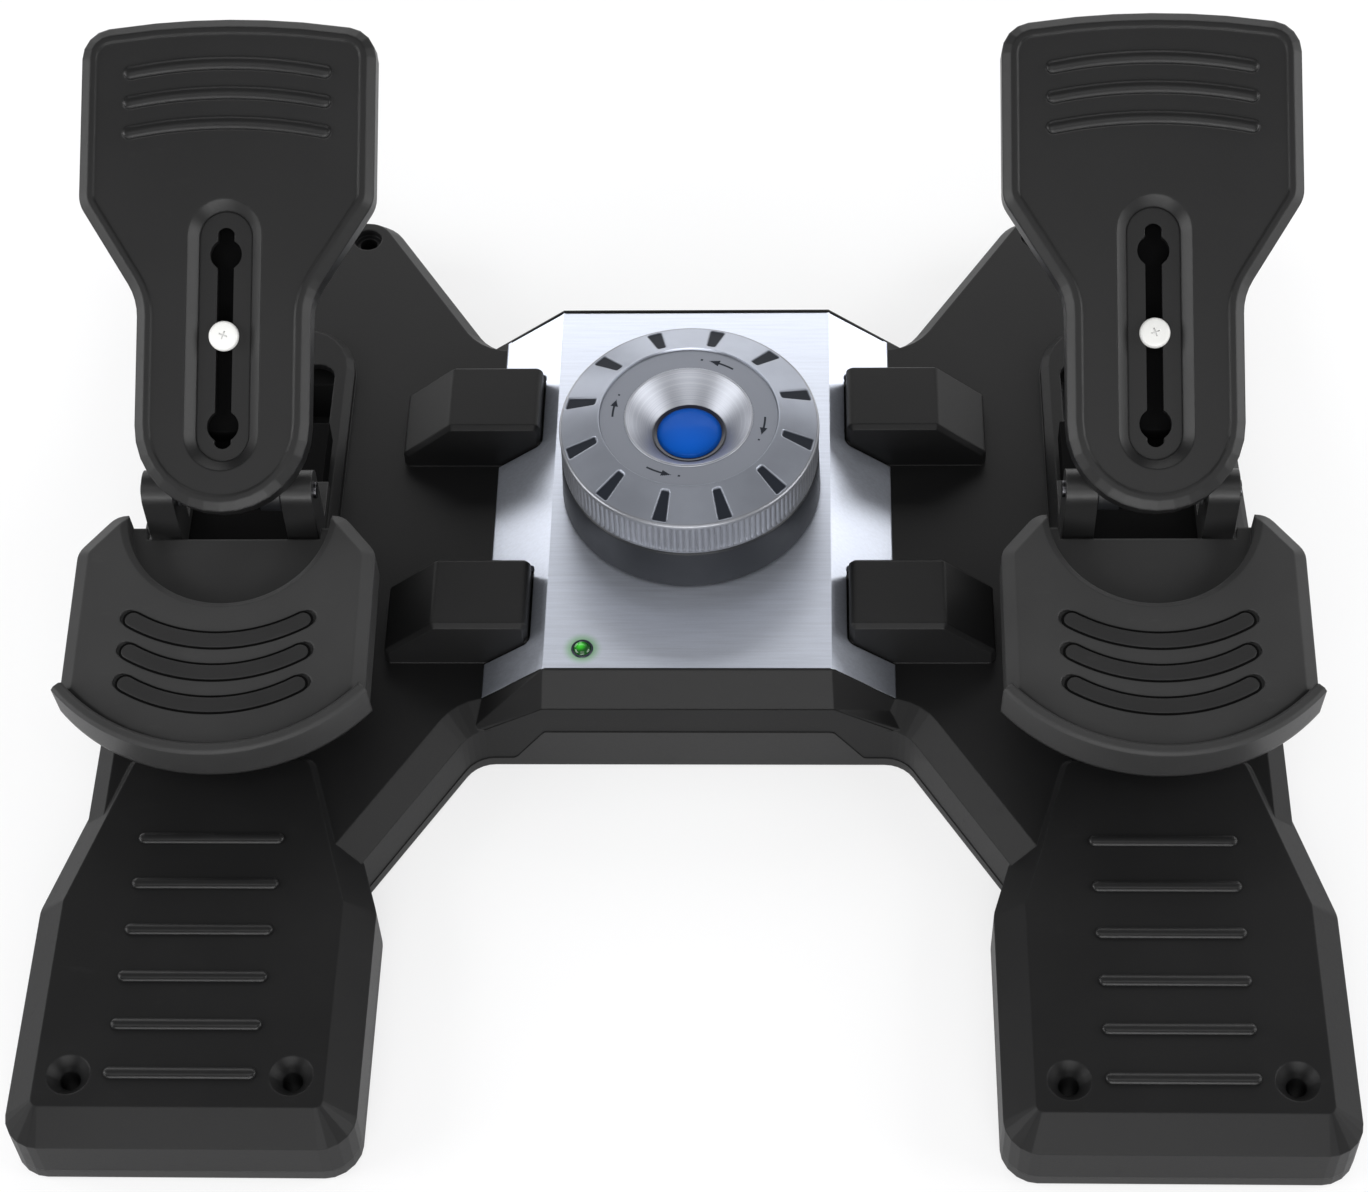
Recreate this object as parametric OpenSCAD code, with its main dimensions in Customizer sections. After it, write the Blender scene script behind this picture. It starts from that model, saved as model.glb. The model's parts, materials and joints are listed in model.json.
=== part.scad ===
// Rudder pedals for a flight simulator: a low base with two sliding pedals,
// a toe brake on each pedal and a tension knob in the middle.
// X runs to the right, Y to the rear and Z up; the floor is at zero.

/* [Base] */
// Overall width across the two heel pads
base_w = 438; // [426:1:450]
// Overall depth of the base, front to rear
base_d = 408; // [400:1:416]
// Height of the base's upper surface
slab_h = 30; // [29:0.5:32]
// Wall thickness of the mouldings
wall_t = 2.6; // [2:0.1:3]
// Bevel round the upper edge of the base
slab_bevel = 7; // [4:0.5:8]
// Height of the seam between shell and cover
seam_h = 6; // [5:0.5:8]
// Height of the cover's underside above the floor
cover_z = 1.5; // [1:0.25:2]
// Thickness of the cover's floor
cover_t = 2.5; // [2:0.1:3]

/* [Heel pads] */
// Width of a heel pad
pad_w = 114.8; // [108:0.4:118]
// Height of a heel pad
pad_h = 32; // [31:0.5:34]
// Bevel round the top of a heel pad
pad_bevel = 10; // [7:0.5:12]
// Number of ribs on a heel pad
rib_n = 6; // [3:1:6]
// Length of a rib
rib_len = 49; // [40:1:56]
// Radius of the mounting holes
hole_r = 3.4; // [2.5:0.1:4]
// Distance between the two mounting holes of a pad
pad_hole_span = 72.7; // [68:0.1:78]

/* [Centre panel] */
// Height of the centre panel
ridge_h = 48; // [46:0.5:50]
// Half width of the centre panel's flat top
ridge_half = 50.3; // [49:0.1:54]
// Thickness of the panel sheet
panel_t = 2.4; // [1.6:0.1:3]
// Depth of the panel, front to rear
panel_d = 166.5; // [160:0.5:168]

/* [Side housings] */
// Height of the housings beside the panel
block_h = 52; // [50:0.5:54]
// Width of a housing along the base
block_w = 30.4; // [26:0.2:34]

/* [Tension knob] */
// Radius of the knob
knob_r = 46.2; // [43:0.2:48]
// Height of the knob over the panel
knob_h = 39; // [36:0.5:42]
// Number of grooves in the knurl
knurl_n = 90; // [60:1:110]
// Number of wedge marks
mark_n = 12; // [6:1:16]

/* [Pedals] */
// Travel of a pedal to each side of the middle
slide_travel = 38; // [30:1:40]
// Radius of a guide rod
rod_r = 4; // [3:0.25:4.5]
// Half the distance between the two rods of a pedal
rod_half = 24; // [22:0.5:24.5]
// Slope of the heel plate
heel_slope = 8; // [5:0.5:9]
// Half width of the heel plate
heel_half = 52.5; // [50:0.5:54]
// Slope of the toe plate at rest
toe_slope = 31; // [28:0.5:34]
// Half width of the toe plate's upper part
toe_half = 52; // [48:0.5:54]
// Half width of the toe plate's lower part
neck_half = 30.6; // [29:0.2:32]
// Travel of the toe plate's adjustment to each side
toe_shift = 20; // [10:1:20]

/* [Hidden] */

// Overrun of every cut
over = 1;
// Clearance between faces that slide or face each other
gap = 0.3;
// Radial clearance of a shaft in its hole
fit = 0.05;
// Overlap that joins two parts of one moulding
join = 0.5;
// Fine and coarse roundness
fine = 96;
smooth = 48;

// Places of the base, from its middle
front_y = -base_d / 2;
rear_y = base_d / 2;
pedal_x = (base_w - pad_w) / 2;
// Front and rear walls of the middle, and the middle of the mechanism
bay_y = -41.5;
bay_half = 76;
rear_bay = 68;
back_y = rear_y - rear_bay;
back_half = 80;
mech_y = 49.5;
// Outline of the legs and rear arms
leg_inside = 48.1;
leg_outside = 45.9;
arm_outside = 36.9;
arm_inside = 37.6;
leg_straight = 103;
leg_start = 64;
leg_in = pedal_x - leg_inside;
leg_in_y = front_y + leg_straight;
leg_join_y = front_y + leg_start;
leg_out = pedal_x + leg_outside;
arm_out = pedal_x + arm_outside;
arm_in = pedal_x - arm_inside;
bay_r = 12;
arm_r = 15;
back_r = 16;
// How the bevel grows at the front bay and shrinks at the rear, as shares
bay_bevel_share = 1.3;
rear_bevel_share = 0.8;

// Heel pad: its top face narrows towards the rear
pad_straight = 87;
pad_len = 143.5;
pad_taper_y = front_y + pad_straight;
pad_rear_y = front_y + pad_len;
pad_rear_half = 30.4;
pad_corner_r = 2.5;
rib_front = 22;
rib_pitch = 17.9;
rib_w = 3.4;
rib_h = 1.2;
hole_front = 21.4;
sink_r = 7.2;
sink_d = 4.6;
boss_t = 3.6;
// Mounting holes in the rear arms
rear_hole_inside = 29.6;
rear_hole_x = pedal_x - rear_hole_inside;
rear_hole_in = 14.5;
rear_sink_r = 5.4;
rear_sink_d = 3;

// Ridge under the panel
ridge_slope = 38.4;
ridge_foot = ridge_half + (ridge_h - slab_h) / tan(ridge_slope);
panel_y = -32.5;
ridge_drop = 12;
ridge_front_half = 51;
ridge_front_slope = 27.5;
ridge_root = slab_h - 8;
ridge_back = 1;

// Side housings: places along the base, and the profile across it
block_ys = [-2, 88.5];
block_in = 56.6;
block_top = 90;
block_out = 108.3;
block_knee = 36;
block_root = slab_h - 3;
block_edge = 1.6;
block_r = 2.5;
notch_gap = 0.8;
notch_r = 2.5;
notch_ear_r = 3.4;

// Slot housings in the legs
island_h = slab_h + 6;
island_half = 31;
island_len = 90;
island_r = 22;
island_bevel = 3;
slot_half = 24;
slot_spare = 3;
slot_r = 6;

// Raised tab of the cover in the front wall
tab_h = 22;
tab_top_half = 51;
tab_foot_half = 62;
tab_gap = 0.15;

// Inside: heights and sizes of the mechanism
inner_z = cover_z + cover_t;
rod_z = 15.5;
rod_end = 9;
slider_half = 32;
slider_len = 30;
slider_z = 8;
slider_top = 23;
rod_spare = 2;
rod_reach = slider_len + slide_travel + rod_spare;
bush_r = rod_r + 2.4;
bush_len = 14;
mech_r = 80;
arm_half = 6;
arm_z = 9;
arm_top = 13;
drive_pin_r = 4;
drive_pin_top = 21;
rocker_z = 14;
rocker_top = 20;
rocker_end = 2;
rocker_w = 22;
rocker_slot_gap = 1.3;
rocker_play = 0.5;
rocker_slot_in = mech_r - rocker_play;
rocker_slot_out = norm([mech_r, slide_travel]) + rocker_play;
rocker_hub_r = 14;
rocker_hub_z = 12;
rocker_hub_top = 22;
post_r = 6;
post_top = 24;
bush_t = 1.6;
sensor_r = 13;
sensor_top = 11;
sensor_gap = 0.6;
spring_wire = 1.6;
spring_r = 10;
spring_turns = 4;
spring_pitch = 2.3;
disc_r = 13;
disc_t = 2;
disc_z = 34.5;
spindle_r = 4;
guide_r = 8;
guide_z = 38;
board_t = 1.6;
board_half = 30;
board_front = bay_y + 20;
board_d = 26;
board_z = 9;
board_leg_r = 2.5;
chip_share = [0.3, 0.4];
chip_t = 1.8;
light_x = 36.8;
light_y = -24;
light_r = 3.2;
light_flange_r = 4.4;
light_h = 1.6;
light_board_half = 5;

// Feet, screws and lead bushing
foot_r = 9;
foot_sunk = 1;
foot_gap = 0.1;
foot_front = 48;
foot_side = 22;
foot_back = 30;
foot_places = [[pedal_x, front_y + foot_front], [leg_out - foot_side, bay_y + foot_back],
    [pedal_x, rear_y - foot_back]];
screw_r = 1.5;
screw_head_r = 3.2;
screw_head_h = 1.4;
screw_boss_r = 4;
screw_len = 15;
screw_half = 75;
screw_bay_in = 13;
screw_leg_in = 12;
screw_inside = 42;
screw_outside = 24;
screw_arm_in = 60;
screw_back_in = 11;
screw_places = [
    [screw_half, bay_y + screw_bay_in], [pedal_x - screw_inside, bay_y - screw_leg_in], [pedal_x, pad_taper_y],
    [pedal_x + screw_outside, rear_y - screw_arm_in], [screw_half, back_y - screw_back_in],
    [pedal_x - screw_inside, back_y]];
bushing_r = 5;
bushing_flange_r = 7.5;
bushing_flange_t = 2;
bushing_in = 6;
lead_r = 2.4;
bushing_z = 15;

// Knob: radii and heights over the panel
knob_gap = 0.6;
skirt_top = 18.6;
skirt_flare = 0.7;
cap_wall = 3;
knurl_z = 19.6;
knurl_top = 32.4;
knurl_d = 0.55;
knurl_in = 0.2;
cap_edge = 1;
cap_fall = 5;
ring_in = 31.5;
ring_rim = 0.6;
ring_step = 0.8;
dish_r = 22.8;
dish_lip = 0.9;
dish_rise = 0.4;
dish_edge = 0.5;
dish_floor_r = 13.2;
dish_d = 10;
centre_r = 11.6;
centre_rise = 2.2;
centre_seat = 1.2;
mark_in = 2.3;
mark_len = 11.2;
mark_w_in = 2.6;
mark_w_out = 3.8;
mark_d = 0.7;
cone_in = ring_in + ring_rim;
cone_slope = atan(cap_fall / (knob_r - cap_edge - cone_in));

// Heel plate, in its own plane: the top face is at zero
heel_y = -41;
heel_z = 65.7;
heel_rear = 58.5;
heel_corner = 43.5;
heel_notch = 54;
heel_rear_half = 40;
heel_side_front = -13;
heel_front = -36.4;
heel_deep = 16;
heel_edge = 4.5;
heel_edge_h = 3;
heel_corner_r = 8;
heel_arc_n = 12;
bowl_r = 36;
bowl_d = 12;
bowl_rim = 2.4;
bowl_rim_d = 1.6;
lip_t = 4.4;
lip_h = 4;
lip_over = 1.6;
grip_us = [7, -5.4, -17.8];
grip_half = 31;
grip_bend_r = 58;
grip_w = 6.4;
grip_d = 1;
grip_up = 0.25;
heel_boss_r = 4.5;
heel_boss_x = 20;
heel_boss_u = -14;

// Pedal carriage above the base
deck_half = 27;
deck_z = 40;
deck_top = 50;
deck_front = -36;
post_half = 19;
post_len = 28;
seat_t = 7;
seat_half = 25;
seat_front = -22;
seat_rear = 51;
seat_gap = 0.1;
ear_in = 19;
ear_w = 11;
ear_r = 7;
flange_len = 16;
flange_t = 4;
bracket_screw_r = 2.6;
bracket_screw_h = 1.6;
pin_r = 3;
pin_over = 1;

// Toe plate, in its own plane: the face is at zero and the clamp screw at the origin
toe_y = 58.4;
toe_z = 120.5;
toe_top = 113;
toe_top_sag = 4.6;
toe_side_top = 94;
toe_side_low = 47;
toe_neck = 13;
toe_low = -31.5;
toe_deep = 10;
toe_skin = 3;
toe_edge = 3.2;
toe_edge_h = 2.2;
toe_top_r = 11;
toe_side_r = 22;
toe_face_in = 5.4;
toe_face_d = 0.5;
toe_rib_us = [96.8, 86.2, 75.4];
toe_rib_half = 34.6;
toe_rib_bend_r = 175;
toe_rib_w = 4.2;
toe_rib_h = 0.9;
well_half = 12.8;
well_low = -47.5;
well_top = 48;
well_d = 4;
keyslot_half = 2.9;
key_r = 5.6;
key_us = [29.2, -31.6];
lobe_r = 3.2;
lobe_us = [40, -39.4];
clamp_r = 5.35;
clamp_h = 2.6;
clamp_shank_r = 2.5;
clamp_slot_w = 1.1;
clamp_slot_d = 0.9;

// Toe arm and its hinge, in the toe plate's plane
hinge_u = -52;
hinge_w = -18.5;
hinge_y = toe_y + hinge_u * cos(toe_slope) - hinge_w * sin(toe_slope);
hinge_z = toe_z + hinge_u * sin(toe_slope) + hinge_w * cos(toe_slope);
toe_arm_half = 14;
toe_arm_t = 6;
toe_arm_end = 40;
toe_arm_low = -36;
toe_arm_step = 3;
toe_arm_root = 8;
barrel_half = 11;
barrel_r = 6.9;
brake_wire = 1.2;
brake_spring_r = 5;
brake_spring_in = 12.4;
brake_spring_turns = 3;
brake_pitch = 1.75;
brake_sensor_r = 7.4;
relief_gap = 1;

// Corner b of the path a, b, c as an arc of radius r in n steps
function unit(v) = v / norm(v);
function arc_points(o, p, turn, n) = [
    for (i = [0 : n])
        let (t = atan2(p.y - o.y, p.x - o.x) + turn * i / n)
        [o.x + norm(p - o) * cos(t), o.y + norm(p - o) * sin(t)]];
function corner(a, b, c, r, n) =
    r <= 0 ? [b] :
    let (u = unit(a - b), v = unit(c - b), half = acos(u * v) / 2)
    let (o = b + unit(u + v) * r / sin(half))
    let (p = b + u * r / tan(half), q = b + v * r / tan(half))
    arc_points(o, p, atan2(cross(p - o, q - o), (p - o) * (q - o)), n);

// Outline with rounded corners from rows of x, y, radius and bevel share
function flat(p) = [p[0], p[1]];
function rounded(rows, n = 4) = [
    for (i = [0 : len(rows) - 1])
        let (k = len(rows), share = len(rows[i]) > 3 ? rows[i][3] : 1)
        for (p = corner(flat(rows[(i + k - 1) % k]), flat(rows[i]), flat(rows[(i + 1) % k]), rows[i][2], n))
            [p.x, p.y, share]];

// The same outline moved inwards by d times each point's share
function inset(pts, d) = [
    for (i = [0 : len(pts) - 1])
        let (k = len(pts), a = flat(pts[(i + k - 1) % k]), b = flat(pts[i]), c = flat(pts[(i + 1) % k]))
        let (u = unit(b - a), v = unit(c - b))
        let (m = [-u.y - v.y, u.x + v.x])
        b + m * d * share_at(pts, i) / (1 + u * v)];

// The right half of an outline and its mirror image
function mirrored(rows) = concat(rows, [
    for (i = [len(rows) - 1 : -1 : 0]) [-rows[i][0], rows[i][1], rows[i][2], len(rows[i]) > 3 ? rows[i][3] : 1]]);

// Triangles that fill an outline, found by cutting off one free corner after another
function holds(a, b, c, p) = cross(b - a, p - a) >= 0 && cross(c - b, p - b) >= 0 && cross(a - c, p - c) >= 0;
function is_ear(pts, a, b, c, ids) =
    cross(pts[b] - pts[a], pts[c] - pts[b]) > 0 &&
    len([for (j = ids) if (j != a && j != b && j != c && holds(pts[a], pts[b], pts[c], pts[j])) j]) == 0;
function first_ear(pts, ids, i) =
    let (k = len(ids))
    i >= k || is_ear(pts, ids[(i + k - 1) % k], ids[i % k], ids[(i + 1) % k], ids) ? i % k :
    first_ear(pts, ids, i + 1);
function ears(pts, ids) =
    len(ids) < 4 ? [ids] :
    let (k = len(ids), e = first_ear(pts, ids, 0))
    concat([[ids[(e + k - 1) % k], ids[e], ids[(e + 1) % k]]],
        ears(pts, [for (i = [0 : k - 1]) if (i != e) ids[i]]));
function fill(pts) = ears([for (p = pts) flat(p)], [for (i = [0 : len(pts) - 1]) i]);

// Solid through stations: each gives a height and its outline, all with the same number of points
module lofted(stations, even) {
    k = len(stations[0][1]);
    m = len(stations);
    top = (m - 1) * k;
    points = [for (row = stations) for (p = row[1]) [p[0], p[1], row[0]]];
    sides = [for (r = [0 : m - 2]) for (i = [0 : k - 1])
        let (a = r * k + i, b = (r + 1) * k + i, c = (r + 1) * k + (i + 1) % k, d = r * k + (i + 1) % k)
        each even[i] ? [[a, b, c, d]] : [[a, b, c], [a, c, d]]];
    low_cap = fill(stations[0][1]);
    high_cap = [for (t = fill(stations[m - 1][1])) [top + t[2], top + t[1], top + t[0]]];
    polyhedron(points, concat(low_cap, high_cap, sides));
}

// Solid with the outline pts: each row gives a height and how far the outline is moved inwards there
function share_at(pts, i) = len(pts[i]) > 2 ? pts[i][2] : 1;
module bevelled(pts, rows) {
    k = len(pts);
    lofted(
        [for (row = rows) [row[0], inset(pts, row[1])]],
        [for (i = [0 : k - 1]) share_at(pts, i) == share_at(pts, (i + 1) % k)]);
}

// Tube of radius r along the points of a path, with a given number of sides
module tube(path, r, sides = 6) {
    m = len(path);
    tangents = [for (i = [0 : m - 1]) unit(path[min(i + 1, m - 1)] - path[max(i - 1, 0)])];
    rings = [for (i = [0 : m - 1])
        let (t = tangents[i], e = unit(cross(t, [1, 0, 0] + [0, 1, 0] * t.z)), f = cross(t, e))
        for (j = [0 : sides - 1]) path[i] + r * (cos(360 * j / sides) * e + sin(360 * j / sides) * f)];
    skin = [for (i = [0 : m - 2]) for (j = [0 : sides - 1])
        let (a = i * sides + j, b = i * sides + (j + 1) % sides)
        each [[a, a + sides, b + sides], [a, b + sides, b]]];
    ends = [[for (j = [0 : sides - 1]) j], [for (j = [sides - 1 : -1 : 0]) (m - 1) * sides + j]];
    polyhedron(rings, concat(ends, skin));
}

// Extrude an outline drawn in X and Z along Y
module along_y(y0, y1) {
    translate([0, y1, 0])
    rotate([90, 0, 0])
    linear_extrude(y1 - y0)
    children();
}

// Extrude an outline drawn in Y and Z along X
module along_x(x0, x1) {
    translate([x0, 0, 0])
    rotate([90, 0, 90])
    linear_extrude(x1 - x0)
    children();
}

// Box from its lowest to its highest corner
module block(low, high) {
    translate(low)
    cube(high - low);
}

// Pieces of the right side as drawn, and of the left side mirrored
module on_side(side) {
    if (side > 0) children();
    else mirror([1, 0, 0]) children();
}
module both_sides() {
    children();
    mirror([1, 0, 0]) children();
}
module at_pedal() {
    translate([pedal_x, mech_y, 0])
    children();
}
module in_heel() {
    translate([pedal_x, heel_y, heel_z])
    rotate([heel_slope, 0, 0])
    children();
}
module in_toe() {
    translate([pedal_x, toe_y, toe_z])
    rotate([toe_slope, 0, 0])
    children();
}
module at_hinge() {
    translate([pedal_x, hinge_y, hinge_z])
    children();
}

// Base outlines

slab_outline = rounded(mirrored([
    [bay_half, bay_y, bay_r, bay_bevel_share],
    [leg_in, leg_in_y, 0, bay_bevel_share],
    [leg_in, leg_join_y, 0],
    [leg_out, leg_join_y, 0],
    [leg_out, bay_y, base_d],
    [arm_out, rear_y, arm_r, rear_bevel_share],
    [arm_in, rear_y, arm_r, rear_bevel_share],
    [back_half, back_y, back_r, rear_bevel_share]]), 5);
pad_half = pad_w / 2 - pad_bevel;
pad_top_outline = rounded([
    [-pad_half, front_y + pad_bevel, pad_corner_r],
    [pad_half, front_y + pad_bevel, pad_corner_r],
    [pad_half, pad_taper_y, pad_corner_r],
    [pad_rear_half, pad_rear_y, pad_corner_r],
    [-pad_rear_half, pad_rear_y, pad_corner_r],
    [-pad_half, pad_taper_y, pad_corner_r]], 5);
pad_outline = inset(pad_top_outline, -pad_bevel);
wall_turn = wall_t * tan(22.5);

// Profile across the ridge that carries the centre panel
ridge_side = (slab_h - ridge_root) / tan(ridge_slope);
ridge_rows = [
    [-ridge_foot - ridge_side, ridge_root, 0],
    [ridge_foot + ridge_side, ridge_root, 0],
    [ridge_half, ridge_h, 0],
    [-ridge_half, ridge_h, 0]];
ridge_profile = rounded(ridge_rows);

module slab_solid(low, d, top) {
    bevelled(slab_outline, [
        [low, d],
        [slab_h - slab_bevel - (d > 0 ? wall_turn : 0), d],
        [top, slab_bevel + (d > 0 ? wall_turn : 0)]]);
}
module pad_solid(low, d, top) {
    translate([pedal_x, 0, 0])
    bevelled(pad_outline, [
        [low, d],
        [pad_h - pad_bevel - (d > 0 ? wall_turn : 0), d],
        [top, pad_bevel + (d > 0 ? wall_turn : 0)]]);
}

// Ridge, drawn across the base and carried along it, sloping in at the front wall
module ridge_solid() {
    front_foot = ridge_front_half + (ridge_h - ridge_drop - ridge_root) / tan(ridge_front_slope);
    front_profile = [
        [-front_foot, ridge_root], [front_foot, ridge_root],
        [ridge_front_half, ridge_h - ridge_drop], [-ridge_front_half, ridge_h - ridge_drop]];
    translate([0, back_y - ridge_back, 0])
    rotate([90, 0, 0])
    lofted([
        [0, ridge_profile],
        [back_y - ridge_back - panel_y, ridge_profile],
        [back_y - ridge_back - bay_y, front_profile]], [true, false, true, false]);
}
module ridge_prism(y0, y1, d) {
    along_y(y0, y1)
    polygon([for (p = inset(ridge_profile, d)) flat(p)]);
}
module panel_sheet() {
    difference() {
        ridge_prism(panel_y, panel_y + panel_d, 0);
        ridge_prism(panel_y - over, panel_y + panel_d + over, panel_t);
        block([-ridge_foot - ridge_side * 2, panel_y - over, 0],
            [ridge_foot + ridge_side * 2, panel_y + panel_d + over, slab_h]);
    }
}
module ridge_hollow() {
    half = ridge_foot - (panel_t + wall_t) * 1.5;
    ridge_prism(panel_y + wall_t, back_y - ridge_back - wall_t, panel_t + wall_t);
    block([-half, panel_y + wall_t, slab_h - wall_t - over],
        [half, back_y - ridge_back - wall_t, slab_h + over]);
}

// Side housing, drawn across the base and carried along it with softened ends
function block_rows(root, r) = [
    [block_in, root, 0], [block_out, root, 0], [block_out, block_knee, r],
    [block_top, block_h, r], [block_in, block_h, r]];
module side_housing(y, d) {
    hollow = [for (p = block_rows(slab_h - wall_t * 2 - over, 0)) flat(p)];
    outline = d > 0 ? inset(hollow, d) : rounded(block_rows(block_root, block_r));
    translate([0, y + block_w / 2 - d, 0])
    rotate([90, 0, 0])
    bevelled([for (p = outline) flat(p)], [
        [0, d > 0 ? 0 : block_edge],
        [block_edge, 0],
        [block_w - block_edge - d * 2, 0],
        [block_w - d * 2, d > 0 ? 0 : block_edge]]);
}
module island(d) {
    at_pedal()
    bevelled(inset(rounded([
        [-island_half, -island_len, island_r], [island_half, -island_len, island_r],
        [island_half, island_len, island_r], [-island_half, island_len, island_r]], 6), d), [
        [slab_h - wall_t - (d > 0 ? over : -join), 0],
        [island_h - island_bevel - d, 0],
        [island_h - d, island_bevel]]);
}
module slot(low, high) {
    len = post_len + slide_travel + slot_spare;
    at_pedal()
    translate([0, 0, low])
    linear_extrude(high - low)
    polygon([for (p = rounded([
        [-slot_half, -len, slot_r], [slot_half, -len, slot_r],
        [slot_half, len, slot_r], [-slot_half, len, slot_r]], 4)) flat(p)]);
}
module tab(d) {
    side = concat(d > 0 ? [[tab_foot_half + d, seam_h - over]] : [],
        [[tab_foot_half + d, seam_h], [tab_top_half + d, tab_h + d]]);
    along_y(bay_y - (d > 0 ? over : 0), bay_y + wall_t + (d > 0 ? wall_t : 0))
    polygon(concat(side, [for (i = [len(side) - 1 : -1 : 0]) [-side[i].x, side[i].y]]));
}

// Bar with round ends: its middle is at the origin and it bends towards +Y at its ends
bend_n = 10;
end_n = 6;
module bent_bar(half, bend_r, w, h) {
    turn = asin(half / bend_r);
    side = [for (i = [0 : bend_n]) turn * (2 * i / bend_n - 1)];
    linear_extrude(h)
    polygon(concat(
        [for (a = side) [(bend_r + w / 2) * sin(a), bend_r - (bend_r + w / 2) * cos(a)]],
        [for (i = [1 : end_n - 1]) let (a = turn - 90 + 180 * i / end_n)
            [bend_r * sin(turn) + w / 2 * cos(a), bend_r - bend_r * cos(turn) + w / 2 * sin(a)]],
        [for (i = [bend_n : -1 : 0]) [(bend_r - w / 2) * sin(side[i]), bend_r - (bend_r - w / 2) * cos(side[i])]],
        [for (i = [1 : end_n - 1]) let (a = 90 - turn + 180 * i / end_n)
            [-bend_r * sin(turn) + w / 2 * cos(a), bend_r - bend_r * cos(turn) + w / 2 * sin(a)]]));
}

module straight_bar(half, w, h) {
    linear_extrude(h)
    polygon([
        for (s = [-1, 1]) for (i = [0 : end_n])
            let (a = 180 * i / end_n - 90 * s)
            [s * half + w / 2 * cos(a), w / 2 * sin(a)]]);
}
module pad_ribs() {
    for (i = [0 : rib_n - 1])
        translate([pedal_x, front_y + rib_front + i * rib_pitch, pad_h - join])
        straight_bar((rib_len - rib_w) / 2, rib_w, rib_h + join);
}

// Mounting holes: two through each heel pad and one through each rear arm
module pad_hole_places() {
    for (s = [-1, 1])
        translate([pedal_x + s * pad_hole_span / 2, front_y + hole_front, 0])
        children();
}
module rear_hole_place() {
    translate([rear_hole_x, rear_y - rear_hole_in, 0])
    children();
}
module mounting_posts() {
    pad_hole_places()
    translate([0, 0, inner_z])
    cylinder(h = pad_h - join - inner_z, r = hole_r + boss_t, $fn = smooth);
    rear_hole_place()
    translate([0, 0, inner_z])
    cylinder(h = slab_h - join - inner_z, r = hole_r + boss_t, $fn = smooth);
}
module mounting_holes() {
    pad_hole_places() {
        cylinder(h = pad_h + over, r = hole_r, $fn = smooth);
        translate([0, 0, pad_h - sink_d])
        cylinder(h = sink_d + over, r1 = hole_r, r2 = sink_r + over * (sink_r - hole_r) / sink_d, $fn = smooth);
    }
    rear_hole_place() {
        cylinder(h = slab_h + over, r = hole_r, $fn = smooth);
        translate([0, 0, slab_h - rear_sink_d])
        cylinder(h = rear_sink_d + over, r = rear_sink_r, $fn = smooth);
    }
}
module screw_bosses(r, low, high) {
    for (p = screw_places)
        translate([p.x, p.y, low])
        cylinder(h = high - low, r = r, $fn = 32);
}

// Lower moulding with its rim, the raised tab in the front wall and the seats of feet and screws
module bottom_cover() {
    color([0.07, 0.07, 0.08])
    difference() {
        union() {
            difference() {
                cover_outline(cover_z, seam_h, 0);
                cover_outline(inner_z, seam_h + over, wall_t);
            }
            tab(0);
            both_sides() screw_bosses(screw_boss_r, cover_z + join, seam_h);
        }
        both_sides() {
            mounting_holes();
            screw_bosses(screw_r + fit, 0, seam_h + over);
            screw_bosses(screw_head_r + fit, 0, cover_z + screw_head_h);
            for (p = foot_places)
                translate([p.x, p.y, 0])
                cylinder(h = cover_z + foot_sunk, r = foot_r + foot_gap, $fn = smooth);
        }
    }
}
module cover_outline(low, high, d) {
    translate([0, 0, low])
    linear_extrude(high - low)
    polygon([for (p = inset([for (q = slab_outline) flat(q)], d)) flat(p)]);
    both_sides()
    translate([pedal_x, 0, low])
    linear_extrude(high - low)
    polygon([for (p = inset(pad_outline, d)) flat(p)]);
}

// Upper moulding: legs, arms, heel pads, ridge, side housings and slot housings
module upper_shell() {
    color([0.08, 0.08, 0.09])
    difference() {
        union() {
            difference() {
                union() {
                    slab_solid(seam_h, 0, slab_h);
                    both_sides() pad_solid(seam_h, 0, pad_h);
                    ridge_solid();
                    both_sides() {
                        for (y = block_ys) side_housing(y, 0);
                        island(0);
                        pad_ribs();
                    }
                }
                slab_solid(seam_h - over, wall_t, slab_h - wall_t);
                both_sides() pad_solid(seam_h - over, wall_t, pad_h - wall_t);
                ridge_hollow();
                both_sides() {
                    for (y = block_ys) side_housing(y, wall_t);
                    island(wall_t);
                }
            }
            both_sides() {
                mounting_posts();
                screw_bosses(screw_boss_r, seam_h, slab_h - join);
            }
            spindle_guide();
        }
        difference() {
            panel_sheet();
            both_sides() for (y = block_ys) housing_keep(y, 0);
        }
        both_sides() {
            mounting_holes();
            slot(seam_h, island_h + over);
            screw_bosses(screw_r - fit, seam_h - over, screw_len + fit);
        }
        tab(tab_gap);
        translate([0, mech_y, seam_h])
        cylinder(h = ridge_h, r = spindle_r + fit, $fn = smooth);
        translate([-light_x, light_y, seam_h])
        cylinder(h = ridge_h, r = light_flange_r + fit, $fn = smooth);
        lead_hole();
    }
}
module spindle_guide() {
    translate([0, mech_y, guide_z])
    cylinder(h = ridge_h - panel_t - guide_z - join, r = guide_r, $fn = smooth);
}
module lead_hole() {
    translate([0, back_y - bushing_in - over, bushing_z])
    rotate([-90, 0, 0])
    cylinder(h = bushing_in + bushing_flange_t + over * 2, r = bushing_r, $fn = smooth);
}

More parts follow.
